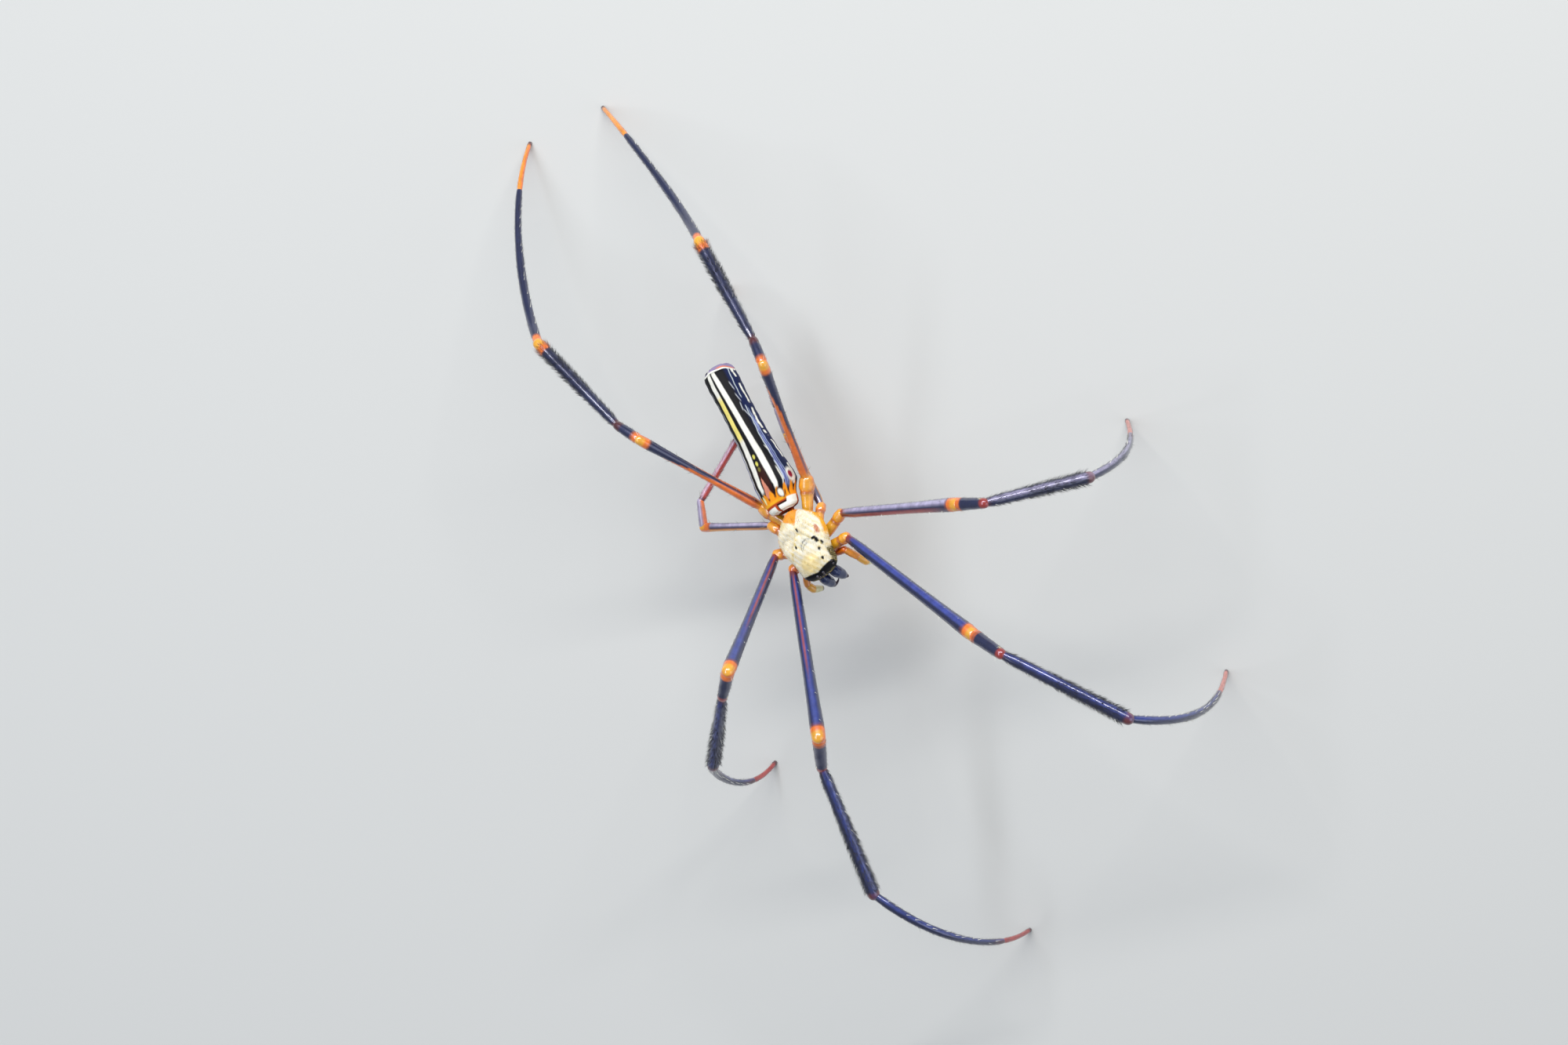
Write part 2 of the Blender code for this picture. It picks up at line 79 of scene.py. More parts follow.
# Lengths of femur, patella, tibia and foot (metatarsus with tarsus) in each pair
LENGTHS = {1: (36.5, 8.3, 26.5, 45.0), 2: (32.5, 6.8, 20.8, 38.0),
           3: (16.5, 5.0, 13.5, 20.6), 4: (28.5, 5.5, 23.8, 49.0)}
COXA_ROOTS = {1: (2.75, -3.1, -2.0), 2: (3.0, -0.7, -2.0), 3: (2.85, 1.7, -2.0), 4: (1.9, 4.3, -2.0)}
WIDTHS = {
    1: {"coxa": (2.0, 2.1, 1.9), "femur": (1.9, 2.2, 2.7), "patella": (2.7, 2.4, 2.1),
        "tibia": (2.1, 2.3, 2.4), "foot": (1.7, 1.5, 1.1, 0.8)},
    2: {"coxa": (2.0, 2.1, 1.9), "femur": (1.9, 2.1, 2.6), "patella": (2.6, 2.3, 2.0),
        "tibia": (2.0, 2.2, 2.3), "foot": (1.7, 1.5, 1.1, 0.8)},
    3: {"coxa": (1.9, 1.9, 1.7), "femur": (1.6, 1.5, 1.7), "patella": (1.7, 1.6, 1.4),
        "tibia": (1.4, 1.3, 1.3), "foot": (1.2, 1.1, 0.9, 0.7)},
    4: {"coxa": (1.9, 2.2, 2.6), "femur": (2.0, 1.5, 2.0), "patella": (2.0, 2.0, 1.8),
        "tibia": (1.8, 2.2, 2.2), "foot": (1.9, 1.6, 1.2, 0.8)},
}

# Hip, then femur, patella and tibia as azimuth and elevation, then the foot's place
# on the floor and the angles at which it leaves the tibia and reaches the floor
STANCE = {
    "left_1": ((6.8, -3.0, 26.5), (-61, 25), (-57, 30), (-57, -6), (51.3, -59.1), (-40, -37), (84, -69)),
    "left_2": ((8.0, 1.4, 25.9), (-24, 33), (-26, 28), (-16, -30), (58.5, -8.8), (-1, -61), (113, -65)),
    "left_3": ((4.4, 4.8, 22.3), (91.5, -20), (82, 0), (83, -14), (3.8, 51.5), (95, -40), (105, -72)),
    "left_4": ((4.8, 10.3, 23.9), (69, 37), (90, -26), (95, -21), (-0.5, 93.4), (110, -57), (118, -50)),
    "right_1": ((-5.9, -3.0, 24.7), (-102, 30), (-129, -42), (-102, -16), (-6.7, -82.6), (-67, -2),
                (25, -75)),
    "right_2": ((-7.5, 1.1, 23.8), (-127, 51), (-144, -36), (-143, -43), (-34.1, -30.8), (172, -68),
                (36, -53)),
    "right_3": ((-6.0, 6.4, 22.4), (153, -24), (65, 8), (30, -8), (-5.0, 33.5), (75, -25), (100, -70)),
    "right_4": ((-5.8, 10.03, 21.0), (116, 32), (121, -16), (109, -16), (-16.4, 94.8), (101, -49),
                (55, -49)),
}

# %% [markdown]
# ## Where the model stands
# The solids were moved so that the middle of their outline is over the origin. Each
# tarsus ends in a small flat on the floor, so the mean of its lowest points is the place
# of that foot. The difference from the stance above is the move that all skins share.

# %% Find the move from the feet
def foot_of(leg):
    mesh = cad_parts["tarsus_" + leg].data
    places = np.empty(len(mesh.vertices) * 3)
    mesh.vertices.foreach_get("co", places)
    places = places.reshape(-1, 3) / MM
    return places[places[:, 2] < 0.02].mean(axis=0)


MOVE = np.mean([foot_of(leg)[:2] - np.array(stance[4]) for leg, stance in STANCE.items()], axis=0)
MOVE = Vector((MOVE[0], MOVE[1], 0.0))
print("the outline was centred by", [round(value, 2) for value in MOVE], "mm")

# %% [markdown]
# ## Curves, profiles and frames
# A few small helpers do all the measuring: a heading from two angles, a value eased
# between stops, and the body's own frame, in which the head is simply at -Y.

# %% Helpers for shape
def heading(azimuth, elevation):
    across = math.cos(math.radians(elevation))
    turn = math.radians(azimuth)
    return Vector((math.cos(turn) * across, math.sin(turn) * across, math.sin(math.radians(elevation))))


def stops_at(stops, at):
    """Values read from (place, value) stops, eased from each to the next."""
    places = np.array([stop[0] for stop in stops])
    values = np.array([stop[1] for stop in stops], dtype=float)
    at = np.clip(at, places[0], places[-1])
    low = np.clip(np.searchsorted(places, at, side="right") - 1, 0, len(places) - 2)
    share = (at - places[low]) / (places[low + 1] - places[low])
    eased = share * share * (3 - 2 * share)
    return values[low] * (1 - eased) + values[low + 1] * eased


def linear_stops(stops, at):
    return np.interp(at, [stop[0] for stop in stops], [stop[1] for stop in stops])


def even_stops(values, at):
    """The same for values that stand at even spaces from 0 to 1."""
    return stops_at(tuple(zip(np.linspace(0, 1, len(values)), values)), at)


def edge(low, high, value):
    """0 below low, 1 above high and eased between; low may be the larger one."""
    share = np.clip((value - low) / (high - low), 0, 1)
    return share * share * (3 - 2 * share)


def span(start, full, fading, end, value):
    """Rises from start to full and falls from fading to end."""
    return edge(start, full, value) * edge(end, fading, value)


def unit(vectors):
    return vectors / np.linalg.norm(vectors, axis=-1, keepdims=True)


def grid(rows, around):
    """Each row paired with angles all the way round, which start below and are 0 on top."""
    return np.meshgrid(rows, np.linspace(-math.pi, math.pi, around, endpoint=False), indexing="ij")


def wave(value, seed):
    """A smooth wandering number between about -1 and 1, the same each run."""
    return (np.sin(value * 7.1 + seed * 2.3) + np.sin(value * 17.3 + seed * 5.1) * 0.6
            + np.sin(value * 41.7 + seed * 1.7) * 0.35) / 1.6


BODY = (Matrix.Translation(Vector(BODY_PLACE) + MOVE)
        @ Matrix.Rotation(math.radians(HEAD_TO_LEFT), 4, "Z")
        @ Matrix.Rotation(math.radians(-NOSE_UP), 4, "X")
        @ Matrix.Rotation(math.radians(-LEFT_UP), 4, "Y"))


def to_body(places):
    """Points of the body's own frame, in millimetres, moved to where the body is."""
    turn = np.array(BODY.to_3x3())
    return np.asarray(places) @ turn.T + np.array(BODY.translation)


# %% [markdown]
# ## Skins as lofts
# A tube-like skin is a stack of rings. Numpy holds the rings as one array, so a shape or
# a marking is a formula over that array and not a loop over points. The same formula
# that gives each ring its width can give each point its tint, which the materials read
# back from an attribute. That keeps a marking on the skin from every side.

# %% Loft helper
def loft(rings, tints):
    """Vertices, faces and tints of a closed tube through rings of equal counts.

    Its volume tells whether the faces look outward, and if not they are turned."""
    rows, around = rings.shape[:2]
    verts, colours = (np.concatenate([field.reshape(-1, 3), field[[0, -1]].mean(axis=1)])
                      for field in (rings, tints))
    row, column = np.meshgrid(np.arange(rows - 1), np.arange(around), indexing="ij")
    after = (column + 1) % around
    quads = np.stack([row * around + column, row * around + after,
                      (row + 1) * around + after, (row + 1) * around + column], axis=-1).reshape(-1, 4)
    here = np.arange(around)
    first = np.stack([here * 0 + rows * around, (here + 1) % around, here], axis=-1)
    last_row = (rows - 1) * around
    last = np.stack([here * 0 + rows * around + 1, last_row + here, last_row + (here + 1) % around],
                    axis=-1)
    faces = [tuple(face) for part in (quads, first, last) for face in part]
    corners = verts[quads] - verts.mean(axis=0)
    if np.einsum("ij,ij->", corners[:, 0], np.cross(corners[:, 1], corners[:, 2])) < 0:
        faces = [face[::-1] for face in faces]
    return verts, faces, colours


def object_from(name, shells, material):
    """One object, in metres, from shells of (vertices, faces, tints)."""
    verts, faces, colours = [], [], []
    for shell_verts, shell_faces, shell_colours in shells:
        offset = sum(len(part) for part in verts)
        verts.append(shell_verts)
        colours.append(shell_colours)
        faces += [tuple(index + offset for index in face) for face in shell_faces]
    verts = np.concatenate(verts) * MM
    colours = np.concatenate(colours)
    mesh = bpy.data.meshes.new(name)
    mesh.from_pydata(verts.tolist(), [], faces)
    layer = mesh.attributes.new("tint", "FLOAT_COLOR", "POINT")
    layer.data.foreach_set("color", np.concatenate([colours, np.ones((len(colours), 1))], axis=1).ravel())
    mesh.shade_smooth()
    mesh.materials.append(material)
    thing = bpy.data.objects.new(name, mesh)
    bpy.context.scene.collection.objects.link(thing)
    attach(thing, "root")
    return thing


# %% Tints in layers
def blended(base, colour, mask):
    return base + (colour - base) * mask[..., None]


class Tints:
    """The tints of an array of points, which take one colour and its mask after another."""

    def __init__(self, colour, points):
        self.all = np.broadcast_to(colour, points.shape + (3,)).copy()

    def add(self, colour, mask):
        self.all = blended(self.all, colour, mask)


# %% [markdown]
# ## Cuticle
# A spider's cuticle is a hard, slightly waxy shell. One recipe makes all its materials: the
# tint comes from the skin's attribute, a broad noise breaks it up, and a finer one gives
# the shallow pits and ridges that scatter the highlight. The sizes are real ones, in
# metres, since the noise reads Object coordinates.

# %% Cuticle material
def node_in(tree, kind, wires=None, **fields):
    """A new node with its fields set. Each of its wired inputs takes a link or a plain value."""
    node = tree.nodes.new(kind)
    for name, value in fields.items():
        setattr(node, name, value)
    wire(tree, node, wires or {})
    return node


def wire(tree, node, wires):
    for name, value in wires.items():
        if isinstance(value, bpy.types.NodeSocket):
            tree.links.new(value, node.inputs[name])
        else:
            node.inputs[name].default_value = value


def tinted_material(name, roughness, coat, bump, pit_scale, spread, sheen=0.0, specular=0.5,
                    gleam=(1, 1, 1)):
    material = bpy.data.materials.new(name)
    material.use_nodes = True
    tree = material.node_tree
    shader = tree.nodes["Principled BSDF"]
    tint = node_in(tree, "ShaderNodeAttribute", attribute_name="tint", location=(-900, 200))
    where = node_in(tree, "ShaderNodeTexCoord", location=(-1300, -100)).outputs["Object"]
    broad = node_in(tree, "ShaderNodeTexNoise", {"Vector": where, "Scale": 700, "Detail": 4},
                    location=(-1100, 0))
    fine = node_in(tree, "ShaderNodeTexNoise", {"Vector": where, "Scale": pit_scale, "Detail": 3},
                   location=(-1100, -250))
    shade = node_in(tree, "ShaderNodeMapRange",
                    {"Value": broad.outputs["Fac"], "From Min": 0.3, "From Max": 0.7,
                     "To Min": 1 - spread, "To Max": 1 + spread}, location=(-850, 0))
    mixed = node_in(tree, "ShaderNodeVectorMath",
                    {0: tint.outputs["Color"], "Scale": shade.outputs["Result"]},
                    operation="SCALE", location=(-600, 150))
    dull = node_in(tree, "ShaderNodeMapRange", {"Value": fine.outputs["Fac"], "To Min": roughness * 0.8,
                                                "To Max": roughness * 1.3}, location=(-600, -100))
    height = node_in(tree, "ShaderNodeBump", {"Height": fine.outputs["Fac"], "Strength": bump,
                                              "Distance": 0.00012}, location=(-350, -250))
    wire(tree, shader, {"Base Color": mixed.outputs["Vector"], "Roughness": dull.outputs["Result"],
                        "Normal": height.outputs["Normal"], "Coat Weight": coat, "Coat Roughness": 0.16,
                        "Coat IOR": 1.7, "Specular IOR Level": specular, "Specular Tint": (*gleam, 1),
                        "Sheen Weight": sheen, "Sheen Tint": (*gleam, 1)})
    return material


LEG_SHELL = tinted_material("leg_shell", 0.30, 0.9, 0.12, 7000, 0.18, specular=1.0,
                            gleam=(0.60, 0.62, 1.0))
BODY_SHELL = tinted_material("body_shell", 0.5, 0.0, 0.12, 5000, 0.12, specular=0.16)
BLACK_GLASS = tinted_material("black_glass", 0.16, 0.5, 0.06, 2500, 0.1, specular=0.7,
                              gleam=(0.5, 0.62, 1.0))
HAIR = tinted_material("hair", 0.5, 0.0, 0.0, 9000, 0.15, sheen=0.2)

# Tints, as scene-linear colours
NAVY = np.array((0.006, 0.011, 0.05))
BLACK = np.array((0.004, 0.004, 0.007))
ORANGE = np.array((0.88, 0.19, 0.004))
YELLOW = np.array((0.92, 0.44, 0.02))
RED = np.array((0.34, 0.030, 0.010))
BROWN = np.array((0.09, 0.015, 0.008))
PINK = np.array((0.66, 0.21, 0.15))
LILAC_HIGHLIGHT = np.array((0.42, 0.36, 0.50))
WHITE = np.array((0.88, 0.88, 0.80))
CREAM = np.array((0.86, 0.78, 0.36))
GOLD = np.array((0.95, 0.76, 0.27))
SILVER = np.array((1.0, 0.97, 0.86))

# %% [markdown]
# ## Legs
# Each leg is six hard tubes in a row: coxa, femur, patella, tibia, metatarsus and tarsus.
# Every tube narrows at its near end, swells toward its far end and closes round, so the
# next one seems to plug into it. Ends are ball shaped because the knees bend by up to
# 75 degrees. The foot is a cubic curve that leaves the tibia and comes down to the floor.

# %% Leg paths
FOOT_ROWS = 120


def leg_joints(leg):
    pair, side = int(leg[-1]), (1 if leg.startswith("left") else -1)
    hip, femur, patella, tibia, foot, leave, arrive = STANCE[leg]
    root = COXA_ROOTS[pair]
    root = BODY @ Vector((root[0] * side, root[1], root[2]))
    hip = Vector(hip) + MOVE
    knee = hip + heading(*femur) * LENGTHS[pair][0]
    patella_end = knee + heading(*patella) * LENGTHS[pair][1]
    tibia_end = patella_end + heading(*tibia) * LENGTHS[pair][2]
    floor = Vector((*foot, 0.0)) + MOVE
    first = tibia_end + heading(*leave) * LENGTHS[pair][3] * HANDLE
    second = floor - heading(*arrive) * LENGTHS[pair][3] * HANDLE
    t = np.linspace(0, 1, FOOT_ROWS)[:, None]
    curve = (np.array(tibia_end) * (1 - t) ** 3 + np.array(first) * 3 * (1 - t) ** 2 * t
             + np.array(second) * 3 * (1 - t) * t ** 2 + np.array(floor) * t ** 3)
    return root, hip, knee, patella_end, tibia_end, curve


def line_between(start, end, step=0.3):
    rows = max(int((Vector(end) - Vector(start)).length / step), 4)
    t = np.linspace(0, 1, rows)[:, None]
    return np.array(start) * (1 - t) + np.array(end) * t


def podomeres(leg):
    """(name, path, width stops) for each hard tube of a leg."""
    pair = int(leg[-1])
    root, hip, knee, patella_end, tibia_end, curve = leg_joints(leg)
    middle = root.lerp(hip, 0.5)
    middle.z = root.z + (hip.z - root.z) * 0.15
    t = np.linspace(0, 1, 24)[:, None]
    coxa = np.array(root) * (1 - t) ** 2 + np.array(middle) * 2 * (1 - t) * t + np.array(hip) * t ** 2
    split = round((1 - TARSUS_SHARE) * (FOOT_ROWS - 1))
    widths = WIDTHS[pair]
    split_at = split / (FOOT_ROWS - 1)
    foot = widths["foot"]
    upper = [even_stops(foot, place * split_at) for place in np.linspace(0, 1, 5)]
    lower = [even_stops(foot, split_at + place * (1 - split_at)) for place in np.linspace(0, 1, 4)]
    bulb = widths["coxa"][-1] * 1.12
    return [
        ("coxa", coxa[:17], widths["coxa"]),
        ("trochanter", coxa[15:], (bulb * 0.9, bulb * 1.06, bulb * 0.95)),
        ("femur", line_between(hip, knee), widths["femur"]),
        ("patella", line_between(knee, patella_end), widths["patella"]),
        ("tibia", line_between(patella_end, tibia_end), widths["tibia"]),
        ("metatarsus", curve[:split + 1], upper),
        ("tarsus", curve[split:], lower),
    ]


# %% [markdown]
# Rings need a steady way up, or a pattern would twist along the leg. The outer side of
# the leg's own plane is used: upward on the femur and outward on the steep foot.

# %% Rings along a path
def path_frame(path, side):
    """Headings along a path, and two directions across it: out of the bend and sideways."""
    ahead = unit(np.gradient(path, axis=0))
    out = unit(np.cross(ahead, side))
    return ahead, out, np.cross(out, ahead)


def along_path(path):
    steps = np.linalg.norm(np.diff(path, axis=0), axis=1)
    return np.concatenate([[0], np.cumsum(steps)])


def tube_width(widths, length, total, neck, lip):
    """The width of a hard tube: necked at its near end, with a lip at its far end."""
    width = even_stops(widths, length / total)
    width = width * (neck + (1 - neck) * edge(0, 0.12 * total, length))
    raised = edge(total * 0.80, total * 0.93, length) - edge(total * 0.96, total, length)
    return width * (1 + (lip - 1) * raised)


def tube_rings(path, widths, side, around=20, ball=0.5, neck=0.88, lip=1.05, tip=None):
    """Rings of a hard tube with round ends, and how far along and round each point is."""
    ahead, out, across = path_frame(path, side)
    length = along_path(path)
    total = length[-1]
    width = tube_width(widths, length, total, neck, lip)
    angles = np.linspace(0, 2 * math.pi, around, endpoint=False)
    caps = np.array([0.35, 0.65, 0.88, 0.98])
    start_reach, end_reach = ball * width[0], (ball if tip is None else tip) * width[-1]
    before = path[0] - ahead[0] * start_reach * caps[::-1, None]
    after = path[-1] + ahead[-1] * end_reach * caps[:, None]
    round_off = np.sqrt(1 - caps ** 2)
    path = np.concatenate([before, path, after])
    width = np.concatenate([width[0] * round_off[::-1], width, width[-1] * round_off])
    length = np.concatenate([-start_reach * caps[::-1], length, total + end_reach * caps])
    out = np.concatenate([np.repeat(out[:1], 4, axis=0), out, np.repeat(out[-1:], 4, axis=0)])
    across = np.concatenate([np.repeat(across[:1], 4, axis=0), across, np.repeat(across[-1:], 4, axis=0)])
    spokes = np.cos(angles)[None, :, None] * out[:, None] + np.sin(angles)[None, :, None] * across[:, None]
    rings = path[:, None] + spokes * width[:, None, None] / 2
    return rings, length, np.broadcast_to(angles, rings.shape[:2])


# %% [markdown]
# ## The legs' colours
# The legs are blue-black with bright orange knees. The hind femora are orange with a black line
# that widens toward the knee, the short third pair is partly orange, and the tarsi are red on
# the front legs and orange on the hind ones. Painted highlights lie over these colours: yellow on
# the coxae and trochanters, lilac on the third pair and a pale band along the lit side of the
# dark tubes. Each rule is written as stops in millimetres along its tube, so a band keeps its
# real length on legs of any size.

# %% Colour of a point on a leg
# The black line of the hind femora: its angle round the leg, and the cosine of half its
# width at shares of the femur's length
BLACK_LINE = -0.85
BLACK_LINE_EDGE = ((0, 0.98), (0.35, 0.94), (0.6, 0.72), (0.8, -0.2), (0.88, -1.1))
# The sine of the angle at which a thin red line runs
RED_LINE = {"right_1": 0.30, "right_2": 0.25}
# A painted highlight: a pale band on the side of a dark leg tube that is turned up and back, toward the
# light
HIGHLIGHT_SIDE = np.array((0.42, 0.33, 0.85))
PAINTED_HIGHLIGHT = {"left_1": (0.05, 0.08, 0.42), "left_2": (0.62, 0.57, 0.84), "right_1": (0.04, 0.07, 0.36),
         "right_2": (0.04, 0.07, 0.36), "right_3": (0.66, 0.60, 0.84), "left_3": (0.3, 0.28, 0.4)}


def leg_tints(name, pair, leg, length, total, angle):
    """Tints over a tube from the distance along it and the angle round it, 0 at the top."""
    from_end = total - length
    top, sideways = np.cos(angle), np.sin(angle)
    tint = Tints(NAVY, top)
    along = np.broadcast_to(length[:, None], top.shape)
    back = np.broadcast_to(from_end[:, None], top.shape)
    ragged = wave(along, pair + len(name)) * 0.25
    if name == "coxa":
        tint.all[:] = ORANGE * 0.5 + YELLOW * 0.5
        # The yellow on the coxa's top is a painted highlight; the orange below it is the tube's colour
        tint.add(YELLOW, edge(0.0, 0.8, top))
        tint.add(ORANGE, edge(0.1, -0.7, top))
        tint.add(RED, edge(0.9, 0.2, back) * 0.7)
    if name == "trochanter":
        tint.all[:] = ORANGE * 0.75 + YELLOW * 0.25
        # The trochanter's yellow top is a painted highlight as well
        tint.add(YELLOW, edge(0.2, 0.9, top) * edge(0.2, 0.8, along) * 0.8)
        tint.add(RED, edge(0.35, 0.0, along) * 0.8)
        tint.add(ORANGE, edge(0.0, -0.6, top))
    if name == "femur":
        if pair == 4:
            line = linear_stops(BLACK_LINE_EDGE, along / total)
            tint.add(ORANGE, edge(line + 0.06, line - 0.06, np.cos(angle - BLACK_LINE)))
            tint.add(ORANGE * 0.4 + YELLOW * 0.7, edge(2.6, 0.8, along))
        elif pair == 3:
            tint.add(YELLOW * 0.6 + ORANGE * 0.4, edge(0.55, 0.1, top))
        else:
            red = edge(0.1, 0.5, -sideways) if leg == "left_2" else 0 * sideways
            if leg in RED_LINE:
                red = edge(0.15, 0.05, abs(sideways - RED_LINE[leg])) * edge(-0.2, 0.1, top)
                red = red * edge(total * 0.8, total * 0.4, along) * 0.8
            tint.add(RED + ORANGE * 0.15, red * edge(total * 0.97, total * 0.7, along))
            tint.add(BROWN * 2, edge(2.4, 1.0, along + ragged))
            tint.add(RED, edge(1.3, 0.6, along + ragged))
            tint.add(ORANGE, edge(0.6, 0.1, along))
        tint.add(ORANGE, edge(2.3, 1.5, back + ragged))
        tint.add(YELLOW, edge(1.1, 0.4, back) * edge(0.1, 0.7, top))
    if name == "patella":
        tint.add(BROWN, edge(0.2, -0.6, top))
        tint.add(ORANGE, edge(1.8, 0.9, along + ragged))
        tint.add(CREAM, edge(1.2, 0.6, back) * edge(0.2, 0.08, abs(top - 0.35)))
        tint.add(RED, edge(0.7, 0.2, back))
        if pair == 3:
            # Painted highlight: lilac on the top of the third patella, with its own orange on one side
            tint.add(LILAC_HIGHLIGHT, edge(0.0, 0.5, top))
            tint.add(ORANGE, edge(0.1, 0.5, -sideways))
        if pair == 4:
            tint.add(BROWN, edge(1.4, 0.5, back))
    if name == "tibia":
        if pair == 3:
            # The third tibia is pink, lightened by a painted lilac highlight, and red on one side
            tint.all[:] = PINK * 0.4 + LILAC_HIGHLIGHT * 0.8
            tint.add(RED * 1.6, edge(0.1, 0.6, -sideways))
        tint.add(BROWN, edge(1.4, 0.4, along))
        if pair == 4:
            tint.add(ORANGE * 1.1, edge(2.7, 2.0, back + ragged * 0.6))
            tint.add(YELLOW, edge(1.5, 0.6, back) * edge(0.0, 0.6, top))
        else:
            tint.add(BROWN * 1.6, edge(0.9, 0.3, back))
    if name == "metatarsus":
        if pair == 4:
            tint.add(ORANGE * 1.1, edge(2.4, 1.7, along + ragged * 0.6))
        if pair == 3:
            tint.add(PINK, edge(6.0, 0.0, along))
        if pair in (1, 2):
            tint.add(BROWN, edge(5.0, 0.5, back))
    if name == "tarsus":
        tip = ORANGE * 1.05 if pair in (3, 4) else RED * 1.25
        if leg == "left_2" or leg == "left_1":
            tip = PINK
        tint.all[:] = tip
        if pair == 4:
            tint.add(YELLOW, edge(0.3, 0.9, top) * 0.5)
        tint.add(BROWN, edge(1.2, 0.4, back))
    return tint.all


def with_painted_highlight(tints, rings, leg, pair, length, strength):
    """The dark tints with a painted highlight on the points that face the lit side of their tube."""
    middles = rings.mean(axis=1)
    ahead = unit(np.gradient(middles, axis=0))
    lit = unit(HIGHLIGHT_SIDE - ahead * (ahead @ HIGHLIGHT_SIDE)[:, None])
    turned_up = np.einsum("rak,rk->ra", unit(rings - middles[:, None]), lit)
    painted_shine = edge(0.80, 0.97, turned_up) * edge(0.06, 0.25, 0.3 - tints.max(axis=2))
    painted_shine = painted_shine * (0.85 + 0.15 * wave(length * 0.3, pair)[:, None])
    return blended(tints, np.array(PAINTED_HIGHLIGHT[leg]), painted_shine * strength)


# %% Build the eight legs
LEG_TUBES = {}
TUBES = {"coxa": {"ball": 0.45, "neck": 0.95, "lip": 1.06},
         "trochanter": {"ball": 0.4, "neck": 0.85, "lip": 1.02}, "femur": {"neck": 0.8, "lip": 1.05},
         "patella": {"neck": 0.86, "lip": 1.04}, "tibia": {"neck": 0.78, "lip": 1.04},
         "metatarsus": {"neck": 0.85, "lip": 1.03}, "tarsus": {"neck": 0.8, "lip": 1.0, "tip": 0.02}}

for leg, stance in STANCE.items():
    pair = int(leg[-1])
    hip, floor = Vector(stance[0]), Vector((*stance[4], 0.0))
    outward = Vector((floor.x - hip.x, floor.y - hip.y, 0)).normalized()
    side = np.array(Vector((0, 0, 1)).cross(outward))
    shells = []
    for name, path, widths in podomeres(leg):
        rings, length, angle = tube_rings(path, widths, side, **TUBES[name])
        if name == "tarsus":
            rings[..., 2] = np.maximum(rings[..., 2], 0.0)
        tints = leg_tints(name, pair, leg, length, along_path(path)[-1], angle)
        # Paint a pale highlight along the lit side of the dark femora, tibiae and metatarsi
        if leg in PAINTED_HIGHLIGHT and name in ("femur", "tibia", "metatarsus"):
            tints = with_painted_highlight(tints, rings, leg, pair, length, 0.8 if name == "femur" else 0.6)
        shells.append(loft(rings, tints))
        LEG_TUBES[leg, name] = (path, widths, side)
    skin = object_from("leg_" + leg, shells, LEG_SHELL)
    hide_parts(*[name + "_" + leg for name in
                        ("coxa", "femur", "patella", "tibia", "metatarsus", "tarsus")])
print("eight legs with", len(LEG_TUBES), "tubes")

# %% [markdown]
# Each foot ends in three curved claws: two side by side and a short one between them that
# holds silk. Each is a tapering tube on a bent path, kept beside the tip of the tarsus.

# %% Tarsal claws
shells = []
for leg in STANCE:
    path, widths, side = LEG_TUBES[leg, "tarsus"]
    tip, ahead = path[-1], unit(path[-1] - path[-5])
    sideways = unit(np.cross(ahead, (0, 0, 1)))
    for spread, reach in ((-1, 1.0), (1, 1.0), (0, 0.7)):
        t = np.linspace(0, 1, 9)[:, None]
        start = tip - ahead * 1.0 + sideways * spread * 0.26
        bend = tip - ahead * 0.45 + sideways * spread * 0.40 + np.array((0, 0, 0.35 * reach))
        end = tip - ahead * 0.05 + sideways * spread * 0.30 + np.array((0, 0, 0.05))
        claw = start * (1 - t) ** 2 + bend * 2 * (1 - t) * t + end * t ** 2
        rings, length, angle = tube_rings(claw, (0.20, 0.15, 0.04), side, around=8, neck=1, lip=1)
        rings[..., 2] = np.maximum(rings[..., 2], 0.01)
        tints = Tints(BROWN * 0.6, angle)
        tints.add(BLACK, edge(0.3, 0.7, length[:, None] + 0 * angle))
        shells.append(loft(rings, tints.all))
object_from("tarsal_claws", shells, BLACK_GLASS)
print("claws", len(shells))

# %% [markdown]
# ## Abdomen
# The abdomen is a long soft cylinder, widest near its front, with a flat step where it
# meets the narrow waist and a rounded rear end. Its markings are the animal's badge: two
# bold pale stripes along the back, a dark band between them with two small yellow dots,
# and broken pale lines down the sides. All of them are functions of how far along and
# how far round a point is.

# %% Abdomen shape
HALF_WIDTHS = ((0.0, 0.0), (0.006, 2.1), (0.016, 2.8), (0.045, 3.15), (0.09, 3.35), (0.125, 3.7),
               (0.165, 4.15), (0.2, 4.15), (0.258, 3.9), (0.355, 3.55), (0.473, 3.25), (0.61, 3.1),
               (0.746, 3.05), (0.863, 3.2), (0.94, 3.15), (0.975, 2.75), (0.993, 1.9), (1.0, 0.0))
HALF_HEIGHTS = ((0.0, 0.0), (0.006, 1.5), (0.016, 2.0), (0.045, 2.2), (0.09, 2.7), (0.165, 3.6),
                (0.258, 3.85), (0.355, 3.7), (0.473, 3.4), (0.61, 3.25), (0.746, 3.15), (0.863, 3.0),
                (0.94, 2.8), (0.975, 2.3), (0.993, 1.5), (1.0, 0.0))
LEAN = ((0.0, -0.65), (0.09, -0.6), (0.165, 0.0), (1.0, 0.0))


def abdomen_frame():
    back = heading(ABDOMEN_AZIMUTH, ABDOMEN_ELEVATION)
    level_up = Matrix.Rotation(math.radians(-LEFT_UP), 3, back).inverted() @ Vector((0, 0, 1))
    left = back.cross(level_up).normalized()
    return np.array(left), np.array(back), np.array(left.cross(back).normalized())


def smooth_stops(stops, along, reach, rounding):
    """Stops averaged over a reach before and after, and rounded off at both ends."""
    value = sum(linear_stops(stops, np.clip(along + shift, 0, 1)) for shift in (-reach, 0, reach)) / 3
    return value * np.minimum(1, np.minimum(along, 1 - along) / rounding) ** 0.5


